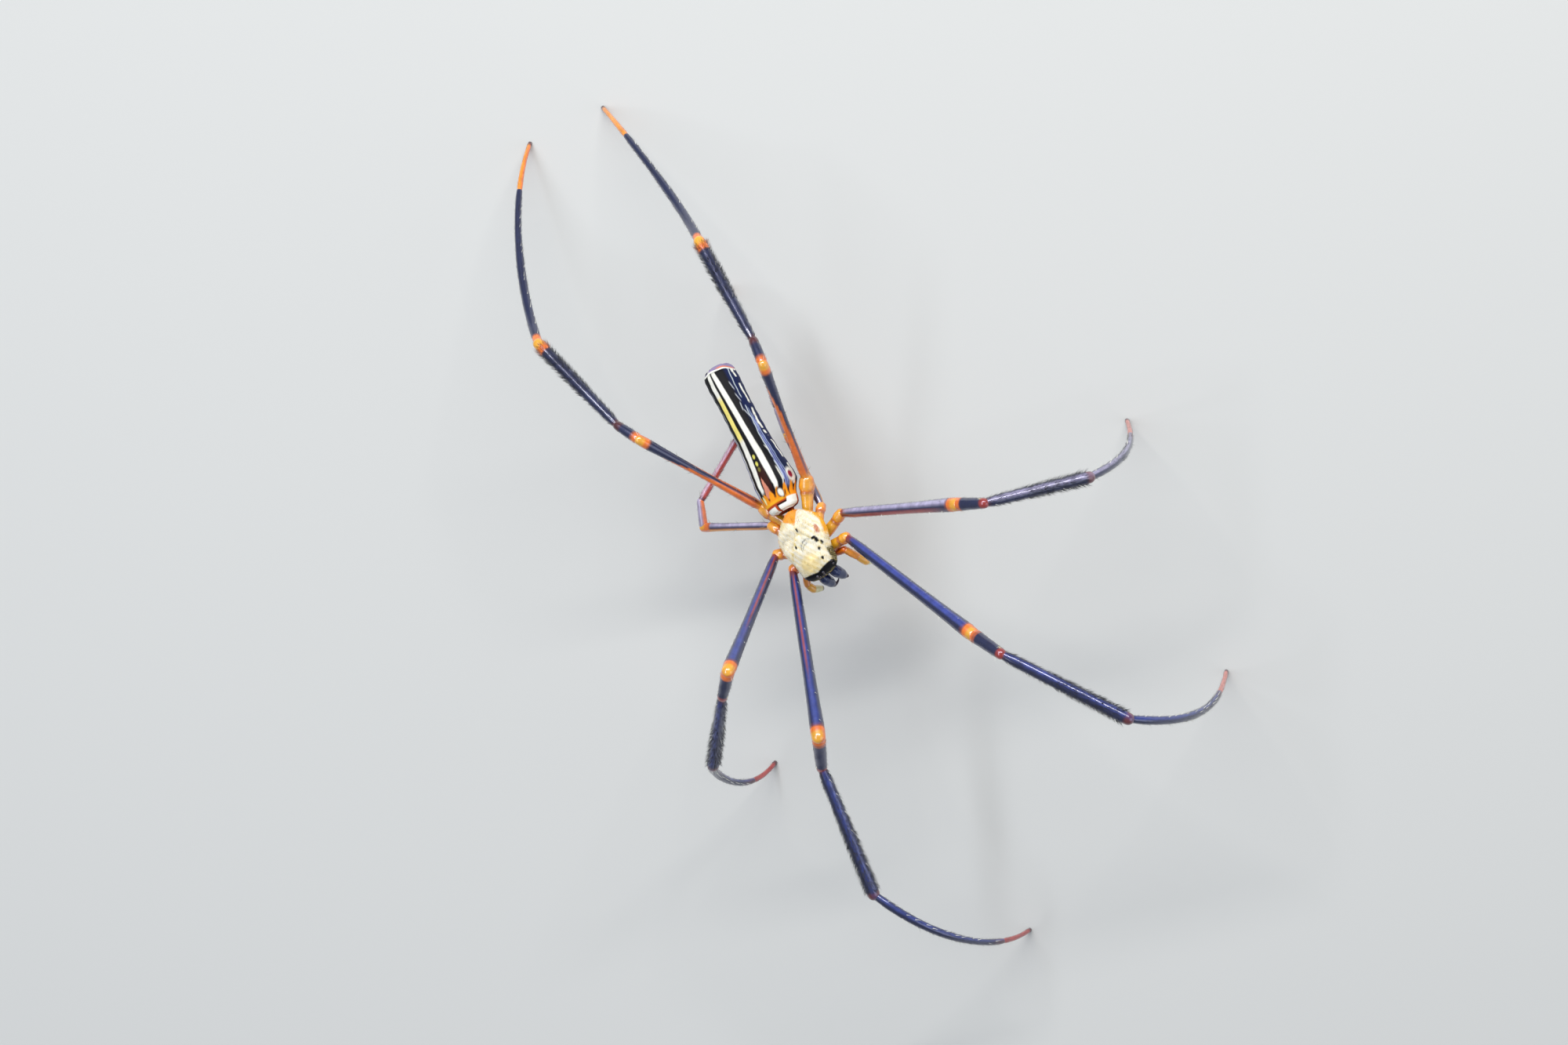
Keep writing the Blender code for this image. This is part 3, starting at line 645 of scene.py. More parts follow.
def abdomen_places(along, around):
    """Points on the abdomen; around is 0 on the back and grows toward the left side."""
    left, back, up = abdomen_frame()
    width, height = (smooth_stops(stops, along, 0.012, 0.006) for stops in (HALF_WIDTHS, HALF_HEIGHTS))
    fold = 0.05 * np.sin(along * 95 + np.cos(around) * 2) * edge(0.05, 0.15, along) * np.abs(np.sin(around))
    front = np.array(ABDOMEN_FRONT) + np.array(MOVE)
    return (front + back * (along * ABDOMEN_LENGTH)[..., None]
            + left * (linear_stops(LEAN, along) + (width + fold * 0.6) * np.sin(around))[..., None]
            + up * (height * np.cos(around))[..., None])


# %% Abdomen markings
# Stops along the body, in degrees round from the middle of the back: how far the pattern is
# turned, half the gap between the bold stripes, half a bold stripe, and three lines beside them
PATTERN_TURN = ((0.0, 18), (0.2, 17.5), (0.4, 15), (0.5, 16), (0.6, 19), (0.75, 21), (0.9, 24), (1.0, 24))
HALF_GAP = ((0.0, 26), (0.2, 23.6), (0.3, 22), (0.4, 20), (0.5, 17.2), (0.7, 15.8), (0.9, 12.8), (1.0, 9))
HALF_BOLD = ((0.1, 3), (0.2, 6.5), (0.3, 8.6), (0.4, 9.7), (0.6, 9.2), (0.75, 9.2), (0.9, 8.2), (1.0, 6))
SIDE_LINE = ((0.08, 55), (0.2, 50), (0.42, 50), (0.5, 52), (0.6, 58), (0.75, 61), (0.9, 65), (1.0, 72))
EDGE_LINE = ((0.1, 84), (0.3, 96), (0.4, 92), (0.5, 82), (0.6, 75), (0.7, 88), (0.9, 84), (1.0, 80))
NEXT_LINE = ((0.1, 68), (0.3, 64), (0.45, 66), (0.6, 62), (0.7, 66))
SHEEN = np.array((0.24, 0.29, 0.60))
GRAPE = np.array((0.30, 0.25, 0.42))
RUBY = np.array((0.30, 0.01, 0.035))
DOT_YELLOW = np.array((0.66, 0.62, 0.12))
COOL, BLUISH = np.array((0.75, 0.85, 1.0)), np.array((0.5, 0.62, 1.0))
SILVERY = np.array((0.7, 0.75, 0.9))


def stripe(turn, along, centre, half, start, end, soft=1.6, fade=0.012):
    """A mask for a line along the body, in degrees round from the middle of the back."""
    across = edge(half + soft, half - soft, np.abs(turn - centre))
    return across * span(start - fade, start + fade, end - fade, end + fade, along)


def blob(along, turn, place, angle, half_length, half_turn, soft=0.25):
    return edge(1 + soft, 1 - soft, np.hypot((along - place) / half_length, (turn - angle) / half_turn))


def pattern_places(along, around):
    """Where a point is in the pattern, whose top lies a little behind its underside."""
    along = along + 0.0065 * linear_stops(HALF_HEIGHTS, along)
    return along, np.degrees(around) + linear_stops(PATTERN_TURN, along)


def abdomen_tints(along, around):
    """The lines of both sides, then the dots and the wedge between the bold stripes."""
    along, turn = pattern_places(along, around)
    sides = np.abs(turn)
    tint = Tints(BLACK, along)
    tint.add(NAVY * 1.5, edge(44, 60, sides) * edge(0.12, 0.2, along))
    tint.add(BROWN * 0.35, edge(14, 9, sides) * edge(0.36, 0.26, along))
    half_gap, half_bold = linear_stops(HALF_GAP, along), linear_stops(HALF_BOLD, along)
    for sign, seed in ((-1, 1), (1, 4)):
        mirrored = turn * sign
        middle = linear_stops(SIDE_LINE, along) + 1.5 * wave(along * 2.2, seed + 8)
        streaks = edge(-0.9, 0.5, wave(along * 1.6 + (mirrored - middle) * 0.13, seed + 30))
        band = span(middle - 1, middle + 2, middle + 11, middle + 16, mirrored)
        # A painted blue sheen, in broken streaks, on the black beside each side line
        tint.add(SHEEN, band * streaks * span(0.12, 0.17, 0.58, 0.66, along))
        broken = edge(-0.85, -0.5, wave(along * 1.9, seed + 2))
        tint.add(WHITE * COOL, stripe(mirrored, along, middle, 1.4, 0.09, 0.97) * broken)
        second = linear_stops(NEXT_LINE, along) + 1.5 * wave(along * 2.8, seed + 5)
        tint.add(WHITE * BLUISH, stripe(mirrored, along, second, 1.1, 0.1, 0.68) * 0.8)
        for tilt, start, end in ((90, 0.82, 0.87), (110, 0.74, 0.79), (-70, 0.68, 0.73), (170, 0.61, 0.68)):
            hook = 45 + 3 * sign + (end - along) * tilt
            tint.add(WHITE * SILVERY, stripe(mirrored, along, hook, 1.3, start, end))
        tint.add(WHITE, stripe(mirrored, along, 44 + (0.44 - along) * 160, 1.8, 0.39, 0.425))
        thin = 45 + 14 * edge(0.5, 0.75, along) * edge(0, -1, sign) + wave(along * 2, seed + 6)
        tint.add(WHITE, stripe(mirrored, along, thin, 1.5, 0.16, 0.28 if sign > 0 else 0.94))
        ragged = linear_stops(EDGE_LINE, along) + 2 * wave(along * 6, seed + 21)
        dashes = edge(-0.55, -0.25, wave(along * 4.6, seed + 2))
        tint.add(WHITE, stripe(mirrored, along, ragged, 5.0 + wave(along * 12, seed), 0.13, 0.95) * dashes)
        low_line = stripe(mirrored, along, 125 + 3 * wave(along * 1.3, seed + 24), 4.0, 0.2, 0.75, soft=3)
        tint.add(CREAM * 0.7, low_line * edge(-0.3, 0.0, wave(along * 5, seed + 5)))
        tint.add(WHITE, blob(along, mirrored, 0.206, 80, 0.048, 17))
        tint.add(RUBY, blob(along, mirrored, 0.206, 75, 0.024, 8))
        colour = Tints(WHITE, along)
        if sign < 0:
            colour.add(CREAM * np.array((1.05, 1.0, 0.62)), span(0.50, 0.54, 0.78, 0.84, along))
        start = 0.17 if sign < 0 else 0.155
        centre = half_gap + 0.6 * wave(along * 1.2, seed)
        tint.add(colour.all, stripe(mirrored, along, centre, half_bold, start, 0.975, fade=0.018))
    for place, strength in ((0.392, 1.0), (0.345, 1.0), (0.308, 0.25)):
        tint.add(DOT_YELLOW, blob(along, turn, place, -1.5, 0.014, 4.2) * strength)
    wedge = np.abs(turn + 7) / np.maximum(9 * (0.27 - along) / 0.1, 0.1)
    tint.add(PINK * np.array((1.1, 1.3, 1.2)), edge(1.1, 0.7, wedge) * edge(0.27, 0.24, along))
    under = edge(125, 150, sides)
    tint.add(BROWN * 0.8, under)
    pale_under = edge(8, 3, np.abs(sides - 152 - 4 * wave(along * 4, 30)))
    pale_under = pale_under * span(0.3, 0.34, 0.7, 0.76, along)
    tint.add(CREAM * 0.55, pale_under * edge(-0.3, 0.1, wave(along * 14, 31)))
    tint.add(ORANGE * 0.45, under * edge(0.27, 0.22, along))
    return tint


def add_end_tints(tint, along, around):
    """The orange shoulders and white blocks in front, and the pale bands round the rear."""
    along, turn = pattern_places(along, around)
    sides = np.abs(turn)
    flames = 0.142 + 0.024 * np.cos(np.radians(turn * 15)) + 0.008 * wave(turn * 0.03, 2)
    shoulder = edge(flames + 0.006, flames - 0.006, along) * edge(112, 96, sides)
    tint.add(ORANGE * 0.55 + YELLOW * 0.5, shoulder)
    veins = edge(0.35, 0.85, -np.cos(np.radians(turn * 15))) * edge(0.10, 0.12, along)
    tint.add(BROWN * 0.6, shoulder * veins)
    tint.add(CREAM, blob(along, turn, 0.128, -33, 0.028, 5))
    tilted = along + (turn - 32) * 0.0012
    tint.add(BROWN * 0.5, blob(tilted, turn, 0.122, 32, 0.033, 12))
    tint.add(WHITE, blob(tilted, turn, 0.122, 32, 0.023, 9))
    for angle, half_length in ((47, 0.020), (62, 0.024)):
        tint.add(BROWN * 0.7, blob(along, turn, 0.112, angle, half_length, 1.8))
    tint.add(YELLOW, edge(0.010, 0.005, np.abs(along - 0.089)) * span(-80, -70, 30, 40, turn))
    front = edge(0.082, 0.077, along) * edge(112, 100, sides)
    tint.add(RED * 0.9 + ORANGE * 0.15, front)
    step = 0.056 + 0.028 * edge(38, 46, turn)
    tint.add(BROWN * 0.4, front * edge(step + 0.016, step + 0.011, along) * span(0, 4, 92, 97, turn))
    tint.add(WHITE, edge(step + 0.004, step - 0.002, along) * span(4, 7, 89, 94, turn))
    tint.add(WHITE, edge(0.066, 0.060, along) * span(-66, -60, -9, -5, turn))
    tint.add(BROWN * 0.5 + RED * 0.3, edge(0.022, 0.017, along))
    tint.add(BROWN * 0.4, edge(0.010, 0.006, along))
    rim = 0.976 - 0.035 * edge(25, 110, turn) + 0.003 * np.cos(np.radians(turn * 6))
    rear = edge(rim - 0.004, rim + 0.001, along)
    tint.add(GRAPE, rear * edge(150, 110, sides))
    tint.add(BLACK, blob(along, turn, 0.995, -28, 0.012, 16))
    tint.add(WHITE, edge(0.0065, 0.004, np.abs(along - rim)) * edge(130, 100, sides))
    tint.add(PINK * 1.1, edge(0.007, 0.004, np.abs(along - rim - 0.010)) * span(20, 40, 80, 120, turn))
    tint.add(WHITE * 0.9, edge(2.6, 1.2, np.abs(turn + 12)) * edge(rim, rim + 0.004, along))


# %% Build the abdomen
rows = np.concatenate([np.linspace(0, 0.06, 60, endpoint=False),
                       np.linspace(0.06, 0.94, 160, endpoint=False), np.linspace(0.94, 1, 60)])
rows = np.clip(rows, 0.0004, 0.9996)
along, around = grid(rows, 200)
tints = abdomen_tints(along, around)
add_end_tints(tints, along, around)
shell = loft(abdomen_places(along, around), tints.all)
abdomen = object_from("abdomen_skin", [shell], BODY_SHELL)
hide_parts("abdomen")
print("abdomen", len(abdomen.data.vertices), "points")

# %% [markdown]
# ## Carapace
# The front half of the body is roofed by one shield. Its head part is raised and set off
# by two grooves that meet in a V, and the rear part has two lobes with a furrow between.
# Short pale gold hair hides most of it, so the shield below is mostly seen in the bare
# black spots, the orange V behind and the glossy black rim over the jaws.

# %% Carapace shape
REAR_HEIGHT, THORAX_HEIGHT, HEAD_HEIGHT, CARAPACE_FLOOR = 0.9, 2.4, 3.2, -0.2
SHIELD_OUTLINE = ((0.0, 0.0), (0.012, 0.22), (0.027, 0.30), (0.092, 0.55), (0.20, 0.86), (0.33, 1.0),
                  (0.476, 0.98), (0.605, 0.86), (0.68, 0.80), (0.77, 0.785), (0.86, 0.76), (0.93, 0.66),
                  (0.97, 0.52), (0.992, 0.32), (1.0, 0.0))
SHIELD_HEIGHT = ((0.0, REAR_HEIGHT), (0.11, REAR_HEIGHT + 0.6), (0.275, THORAX_HEIGHT),
                 (0.385, THORAX_HEIGHT - 0.15), (0.50, THORAX_HEIGHT + 0.35), (0.66, HEAD_HEIGHT),
                 (0.80, HEAD_HEIGHT), (0.90, HEAD_HEIGHT - 0.3), (0.96, HEAD_HEIGHT - 0.8),
                 (1.0, HEAD_HEIGHT - 1.6))


def groove(distance, width):
    return np.exp(-(distance / width) ** 2)


def carapace_places(forward, turn):
    """Points in the body's frame; turn is 0 on the midline above and grows to the left."""
    half = linear_stops(SHIELD_OUTLINE, forward) * CARAPACE_WIDTH / 2
    tall = linear_stops(SHIELD_HEIGHT, forward)
    side, up = np.sin(turn), np.cos(turn)
    x = half * side
    y = CARAPACE_REAR - forward * CARAPACE_LENGTH
    z = np.where(up >= 0, tall * np.abs(up) ** 0.85, CARAPACE_FLOOR * np.minimum(1, -up * 2.5))
    above = edge(0.0, 0.35, up)
    neck = np.abs(np.abs(x) - 0.55 - np.clip(0.9 - y, 0, 4) * 0.85)
    z = z - 0.28 * groove(neck, 0.28) * above * span(-3.4, -2.0, 0.8, 1.4, y)
    z = z - 0.35 * groove(np.hypot(x, (y - 1.25) * 1.3), 0.45) * above
    z = z - 0.22 * groove(x, 0.35) * above * span(1.2, 2.0, 4.2, 5.4, y)
    for slope in (-0.54, 0.09, 0.72):
        rib = groove(y - 1.2 - (np.abs(x) - 0.5) * slope, 0.3)
        z = z - 0.07 * rib * above * edge(1.0, 1.8, np.abs(x))
    return np.stack([x, y, z], axis=-1)


# %% Carapace markings
# Black spots as x, y and half sizes, and faint arcs as x, y, radius and two bearings
SPOTS = ((0.35, 2.05, 0.26, 0.42), (-1.4, -0.65, 0.30, 0.44), (2.55, -0.95, 0.55, 0.26),
         (2.9, -1.6, 0.36, 0.55), (3.5, -2.5, 0.20, 0.46), (2.65, -3.45, 0.24, 0.38),
         (2.35, -5.3, 0.26, 0.34))
FAINT_LINES = ((1.1, -2.2, 1.5, 40, 200), (0.9, -2.6, 1.1, 60, 170))


def carapace_tints(places, top):
    """The shield's tints from places in the body's frame and how far up each point faces."""
    x, y, z = places[..., 0], places[..., 1], places[..., 2]
    tint = Tints(GOLD * 0.75, x)
    tint.add(SILVER * 0.9, edge(-0.3, 0.5, wave(x * 0.8 + y * 0.5, 3)))
    tint.add(YELLOW, edge(0.50, 0.30, top) * edge(-2.2, -0.5, y))
    wedge = np.abs(x + 0.2 - (5.2 - y) * 0.3) - (y - 3.1) * 0.75
    tint.add(YELLOW * 0.75 + ORANGE * 0.25, edge(0.3, -0.1, wedge) * edge(2.9, 3.5, y))
    tint.add(RED * 0.6, edge(1.2, 0.6, np.hypot((x - 1.35) / 0.35, (y - 3.4) / 0.55)))
    tint.add(YELLOW * 0.5 + ORANGE * 0.5, edge(5.5, 6.0, y) * edge(3.0, 2.2, np.abs(x)))
    flank_spot = edge(1.25, 0.8, np.hypot((x - 3.75) / 0.42, (y - 0.2) / 1.0))
    tint.add(ORANGE * 0.55, flank_spot)
    for spot_x, spot_y, half_x, half_y in SPOTS:
        spot = edge(1.2, 0.85, np.hypot((x - spot_x) / half_x, (y - spot_y) / half_y))
        tint.add(BLACK, spot)
    front = edge(-6.95, -7.15, y - 0.24 * np.abs(x))
    cheek = edge(3.35, 3.6, np.abs(x)) * edge(-3.3, -4.1, y) * edge(2.2, 1.8, z)
    tint.add(BLACK, np.maximum(front, cheek))
    wisps = edge(0.1, 0.5, wave(x * 3.1 + y * 1.7, 6)) * edge(-0.1, 0.15, z)
    tint.add(GOLD * 0.6, np.maximum(edge(-7.3, -7.5, y) * edge(1.0, 0.6, z), cheek * 0.8) * wisps)
    tint.add(BROWN, edge(0.0, -0.2, top))
    return tint.all


# %% Build the carapace
rows = np.concatenate([np.linspace(0.0005, 0.03, 20, endpoint=False),
                       np.linspace(0.03, 0.96, 120, endpoint=False), np.linspace(0.96, 0.9995, 40)])
forward, turn = grid(rows, 140)
shield = carapace_places(forward, turn)
tints = carapace_tints(shield, np.cos(turn))
carapace = object_from("carapace_skin", [loft(to_body(shield), tints)], BODY_SHELL)
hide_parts("carapace")
print("carapace", len(carapace.data.vertices), "points")

# %% [markdown]
# ## Under the body
# The sternum is a thick shield between the leg bases. Behind it a narrow waist, the
# pedicel, carries the abdomen, and the spinnerets sit under the abdomen on a low mound.
# They are lofts too, so that they look right when the model is seen from below.

# %% Sternum, waist and spinnerets
STERNUM_OUTLINE = ((0.0, 0.0), (0.02, 0.55), (0.12, 0.9), (0.35, 1.0), (0.7, 0.8), (0.95, 0.4), (1.0, 0.0))
STERNUM_FRONT, STERNUM_LENGTH, STERNUM_HALF_WIDTH = -4.1, 8.0, 2.3
STERNUM_TOP, STERNUM_BOTTOM = -0.7, -3.4

along, round_it = grid(np.linspace(0.003, 0.997, 50), 48)
half = linear_stops(STERNUM_OUTLINE, along)
side, up = np.clip(np.sin(round_it) * 1.25, -1, 1), np.clip(np.cos(round_it) * 1.25, -1, 1)
dome = np.where(up < 0, (0.55 + 0.45 * np.sqrt(np.clip(half, 0, 1))), 1)
x, y = half * STERNUM_HALF_WIDTH * side, STERNUM_FRONT + along * STERNUM_LENGTH
z = (STERNUM_TOP + STERNUM_BOTTOM) / 2 + (STERNUM_TOP - STERNUM_BOTTOM) / 2 * up * dome
tints = Tints(YELLOW * 0.7, x)
tints.add(BROWN, edge(1.1, 1.7, np.abs(x) + np.abs(y + 0.3) * 0.12))
tints.add(BROWN * 0.7, edge(-0.5, 0.2, up))
shell = loft(to_body(np.stack([x, y, z], axis=-1)), tints.all)
sternum = object_from("sternum_skin", [shell], BODY_SHELL)
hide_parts("sternum")

left, back, up = abdomen_frame()
waist_start = to_body([(0, CARAPACE_REAR - 1.8, -1.2)])[0]
waist_end = np.array(ABDOMEN_FRONT) + np.array(MOVE) + back * 0.6 - up * 0.9
waist = line_between(waist_start, waist_end, 0.08)
rings, length, angle = tube_rings(waist, (1.35, 1.45, 1.35), left, around=24, neck=1.0, lip=1.0)
share = (length / length.max())[:, None, None]
middle = rings.mean(axis=1, keepdims=True)
rings = middle + (rings - middle) * (1 + 0.06 * np.sin(share * 40))
tints = Tints(ORANGE * 0.55, angle)
tints.add(BROWN * 0.5, edge(0.75, 0.95, np.cos(angle)))
pedicel = object_from("pedicel_skin", [loft(rings, tints.all)], BODY_SHELL)
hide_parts("pedicel")

SPINNERETS_AT, SPINNERETS_BELOW = 0.805, 3.39
root = (np.array(ABDOMEN_FRONT) + np.array(MOVE) + back * SPINNERETS_AT * ABDOMEN_LENGTH
        - up * SPINNERETS_BELOW)
shells = []
rings, length, angle = tube_rings(np.stack([root + up * (0.8 - 0.34 * step) for step in range(6)]),
                                  (2.7, 2.6, 2.2), back, around=28, neck=1, lip=1, ball=0.2)
shells.append(loft(rings, np.broadcast_to(BROWN * 0.7, rings.shape)))
for backward, sideways, reach in ((-0.55, 0.55, 1.5), (0.15, 0.35, 1.2), (0.7, 0.5, 1.6)):
    for side in (-1, 1):
        foot = root - up * 0.3 + back * backward + left * side * sideways
        tip = foot - up * reach * 0.8 + back * reach * 0.45 - left * side * sideways * 0.3
        rings, length, angle = tube_rings(line_between(foot, tip, 0.1), (0.8, 0.78, 0.7, 0.4), left,
                                          around=14, neck=1, lip=1)
        tints = Tints(RED * 0.55, angle)
        tints.add(BROWN * 0.6, edge(reach * 0.5, reach * 0.7, length[:, None] + 0 * angle))
        shells.append(loft(rings, tints.all))
spinnerets = object_from("spinnerets_skin", shells, BODY_SHELL)
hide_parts("spinnerets")

# %% [markdown]
# ## Face
# The jaws are two fat glossy blocks that hang under the head, each with a folded fang.
# The eight eyes are smooth lenses in two rows. The palps are like short legs in front of
# the mouth, orange with pale ends.

# %% Jaws and fangs
JAW_TOP, JAW_DROOP = (1.25, -6.9, -0.55), (0.05, -0.42, -1)
JAW_LENGTH, JAW_WIDTH, JAW_DEPTH = 4.6, 2.2, 2.6


def jaw_line(side):
    """The top of a jaw and the way it hangs, in the body's frame."""
    droop = np.array((side * JAW_DROOP[0], JAW_DROOP[1], JAW_DROOP[2]))
    return np.array((side * JAW_TOP[0], JAW_TOP[1], JAW_TOP[2])), droop / np.linalg.norm(droop)


JAW_STOPS = ((0.0, 0.0), (0.015, 0.35), (0.05, 0.62), (0.2, 0.92), (0.4, 1.0), (0.75, 0.85), (0.93, 0.6),
             (0.985, 0.3), (1.0, 0.0))


def jaw_rings(side):
    top, droop = jaw_line(side)
    forward = np.array(Vector((0, -1, 0.42)).normalized())
    along, turn = grid(np.linspace(0.002, 0.998, 60), 44)
    half = smooth_stops(JAW_STOPS, along, 0.015, 0.02)
    across = half * JAW_WIDTH / 2 * np.sin(turn)
    depth = half * JAW_DEPTH / 2 * np.cos(turn)
    return (top + droop * (along * JAW_LENGTH)[..., None] + np.array((1, 0, 0)) * across[..., None]
            + forward * depth[..., None]), along


for side, name in ((1, "left"), (-1, "right")):
    rings, along = jaw_rings(side)
    tints = Tints(NAVY * 1.4, along)
    tints.add(BROWN * 0.7, edge(0.85, 0.97, along))
    jaw = object_from("jaw_" + name, [loft(to_body(rings), tints.all)], BLACK_GLASS)
    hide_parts("chelicera_" + name)
    top, droop = jaw_line(side)
    base = top + droop * (JAW_LENGTH + 0.05) + np.array((side * 0.15, -0.1, -0.05))
    share = np.linspace(0, 1, 24)
    swing = np.radians(85) * share
    bend = np.stack([-side * np.sin(swing) * 0.55, 0.25 * share, -np.cos(swing) * 0.3 - 0.1], axis=-1)
    rings, length, angle = tube_rings(to_body(base + bend * 2.4 * share[:, None]), (0.69, 0.6, 0.45, 0.24),
                                      np.array(BODY.to_3x3() @ Vector((0, 1, 0))), around=16, neck=1, lip=1)
    shell = loft(rings, np.broadcast_to(BROWN * 0.5, rings.shape))
    fang = object_from("fang_skin_" + name, [shell], BLACK_GLASS)
    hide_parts("fang_" + name)

# %% Eyes
# x, y, z and width of the left eye of each pair
EYES = {"front_middle": (0.55, -7.75, 1.45, 0.55), "rear_middle": (0.7, -7.5, 2.05, 0.6),
        "front_side": (2.95, -6.9, 1.1, 0.5), "rear_side": (3.15, -6.45, 1.6, 0.5)}
shells = []
for x, y, z, width in EYES.values():
    for side in (1, -1):
        lens, turn = grid(np.linspace(0.03, math.pi - 0.03, 20), 24)
        radius = width / 2
        ball = np.stack([np.sin(lens) * np.cos(turn), -np.cos(lens), np.sin(lens) * np.sin(turn)], axis=-1)
        ball = ball * radius
        tints = Tints(BLACK * 0.6, lens)
        tints.add(np.array((0.06, 0.03, 0.012)), edge(0.1, 0.5, -ball[..., 1] / radius))
        shells.append(loft(to_body(ball + np.array((x * side, y, z))), tints.all))
object_from("eyes", shells, BLACK_GLASS)

# %% Palps
# The joints of each palp from the mouth to its tip
PALPS = {"left": ((2.6, -4.3, 23.6), (4.9, -4.7, 24.9), (6.2, -7.0, 24.2), (6.9, -8.5, 23.0),
                  (7.5, -8.8, 21.7)),
         "right": ((-2.3, -4.4, 22.6), (-4.6, -5.5, 23.8), (-5.1, -6.8, 23.7), (-4.7, -8.0, 22.9),
                   (-3.8, -8.4, 21.9))}
PALP_WIDTHS = (1.2, 1.4, 1.3, 1.5, 1.1)
PALP_COLOURS = (ORANGE, ORANGE * 0.5 + YELLOW * 0.5, YELLOW, CREAM)

for name, stations in PALPS.items():
    stations = [np.array(station) + np.array(MOVE) for station in stations]
    stations[-1] = stations[-1] + (stations[-1] - stations[-2]) * 0.25
    shells = []
    for piece, colour in enumerate(PALP_COLOURS):
        start, end = stations[piece], stations[piece + 1]
        near, far = PALP_WIDTHS[piece], PALP_WIDTHS[piece + 1]
        widths = (near, (near + far) / 2 + 0.12, far)
        rings, length, angle = tube_rings(line_between(start, end, 0.1), widths, np.array((0.0, 0.0, 1.0)),
                                          around=22, neck=0.8, lip=1.04, ball=0.45)
        share = (length[:, None] + 0 * angle) / np.linalg.norm(end - start)
        tints = Tints(colour, angle)
        tints.add(RED, edge(0.1, 0.0, share) * 0.6)
        if piece == 3:
            tints.add(BROWN * 0.5, edge(0.9, 1.15, share))
        shells.append(loft(rings, tints.all))
    palp = object_from("palp_skin_" + name, shells, LEG_SHELL)
    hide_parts("palp_" + name)

# %% [markdown]
# ## Hair
# Real hair here is of three kinds: a flat silvery coat on the carapace, short bristles
# over the legs, and stiff pale spines on the feet. Particle hair would be lost in an
# export, so each hair is a thin bent cone with few faces. One Geometry Nodes tree grows
# them all. It takes a cloud of root points, each with a way to point, a way to bend, a
# length and a tint, and puts a cone on each one. Its inputs say how slender, how bent
# and how tousled the hairs are.

# %% The tree that grows hair
# How much of the UV map one hair takes, across and along it
HAIR_PATCH = (0.0015, 0.003, 0)


def hair_tree(material, seed):
    tree = bpy.data.node_groups.new("grow_" + material.name, "GeometryNodeTree")
    tree.interface.new_socket("Roots", in_out="INPUT", socket_type="NodeSocketGeometry")
    for name in ("Slenderness", "Bend", "Tousle"):
        tree.interface.new_socket(name, in_out="INPUT", socket_type="NodeSocketFloat")
    tree.interface.new_socket("Hair", in_out="OUTPUT", socket_type="NodeSocketGeometry")

    def add(kind, wires=None, **fields):
        return node_in(tree, kind, wires, **fields)

    def named(name, kind):
        return add("GeometryNodeInputNamedAttribute", {"Name": name}, data_type=kind).outputs["Attribute"]

    def figure(operation, first, second):
        return add("ShaderNodeMath", {0: first, 1: second}, operation=operation).outputs[0]

    enter = add("NodeGroupInput").outputs

    # One hair, a cone with its foot at the root, which is bent by the square of its height
    cone = add("GeometryNodeMeshCone", {"Vertices": 3, "Side Segments": 2, "Radius Top": 0.0, "Depth": 1.0,
                                        "Radius Bottom": enter["Slenderness"]})
    place = add("GeometryNodeInputPosition").outputs["Position"]
    apart = add("ShaderNodeSeparateXYZ", {0: place}).outputs
    sag = figure("MULTIPLY", figure("MULTIPLY", apart["Z"], apart["Z"]), enter["Bend"])
    side = figure("DIVIDE", apart["X"], enter["Slenderness"])
    across = add("ShaderNodeCombineXYZ", {"X": side, "Y": apart["Z"]})
    patch = add("GeometryNodeStoreNamedAttribute", {"Geometry": cone.outputs["Mesh"], "Name": "patch",
                                                    "Value": across.outputs[0]}, data_type="FLOAT_VECTOR")
    offset = add("ShaderNodeCombineXYZ", {"X": sag}).outputs[0]
    bent = add("GeometryNodeSetPosition", {"Geometry": patch.outputs["Geometry"], "Offset": offset})

    # The hair on every root, turned to its aim, which chance leads a little astray
    chance = add("FunctionNodeRandomValue", {"Min": (-1, -1, -1), "Max": (1, 1, 1), "Seed": seed},
                 data_type="FLOAT_VECTOR")
    astray = add("ShaderNodeVectorMath", {0: chance.outputs["Value"], "Scale": enter["Tousle"]},
                 operation="SCALE")
    aim = add("ShaderNodeVectorMath", {0: named("aim", "FLOAT_VECTOR"), 1: astray.outputs[0]},
              operation="ADD")
    turn = add("FunctionNodeAxesToRotation", {0: aim.outputs[0], 1: named("lean", "FLOAT_VECTOR")},
               primary_axis="Z", secondary_axis="X")
    grown = add("GeometryNodeInstanceOnPoints",
                {"Points": enter["Roots"], "Instance": bent.outputs["Geometry"],
                 "Rotation": turn.outputs[0], "Scale": named("size", "FLOAT")})

    # Solid hairs, each with a small patch of the UV map beside its root
    solid = add("GeometryNodeRealizeInstances", {"Geometry": grown.outputs["Instances"]})
    small = add("ShaderNodeVectorMath", {0: named("patch", "FLOAT_VECTOR"), 1: HAIR_PATCH,
                                         2: named("root", "FLOAT_VECTOR")}, operation="MULTIPLY_ADD")
    unwrap = add("GeometryNodeStoreNamedAttribute",
                 {"Geometry": solid.outputs["Geometry"], "Name": "OFBake", "Value": small.outputs[0]},
                 data_type="FLOAT2", domain="CORNER")
    finish = add("GeometryNodeSetMaterial", {"Geometry": unwrap.outputs["Geometry"], "Material": material})
    add("NodeGroupOutput", {"Hair": finish.outputs["Geometry"]})
    return tree


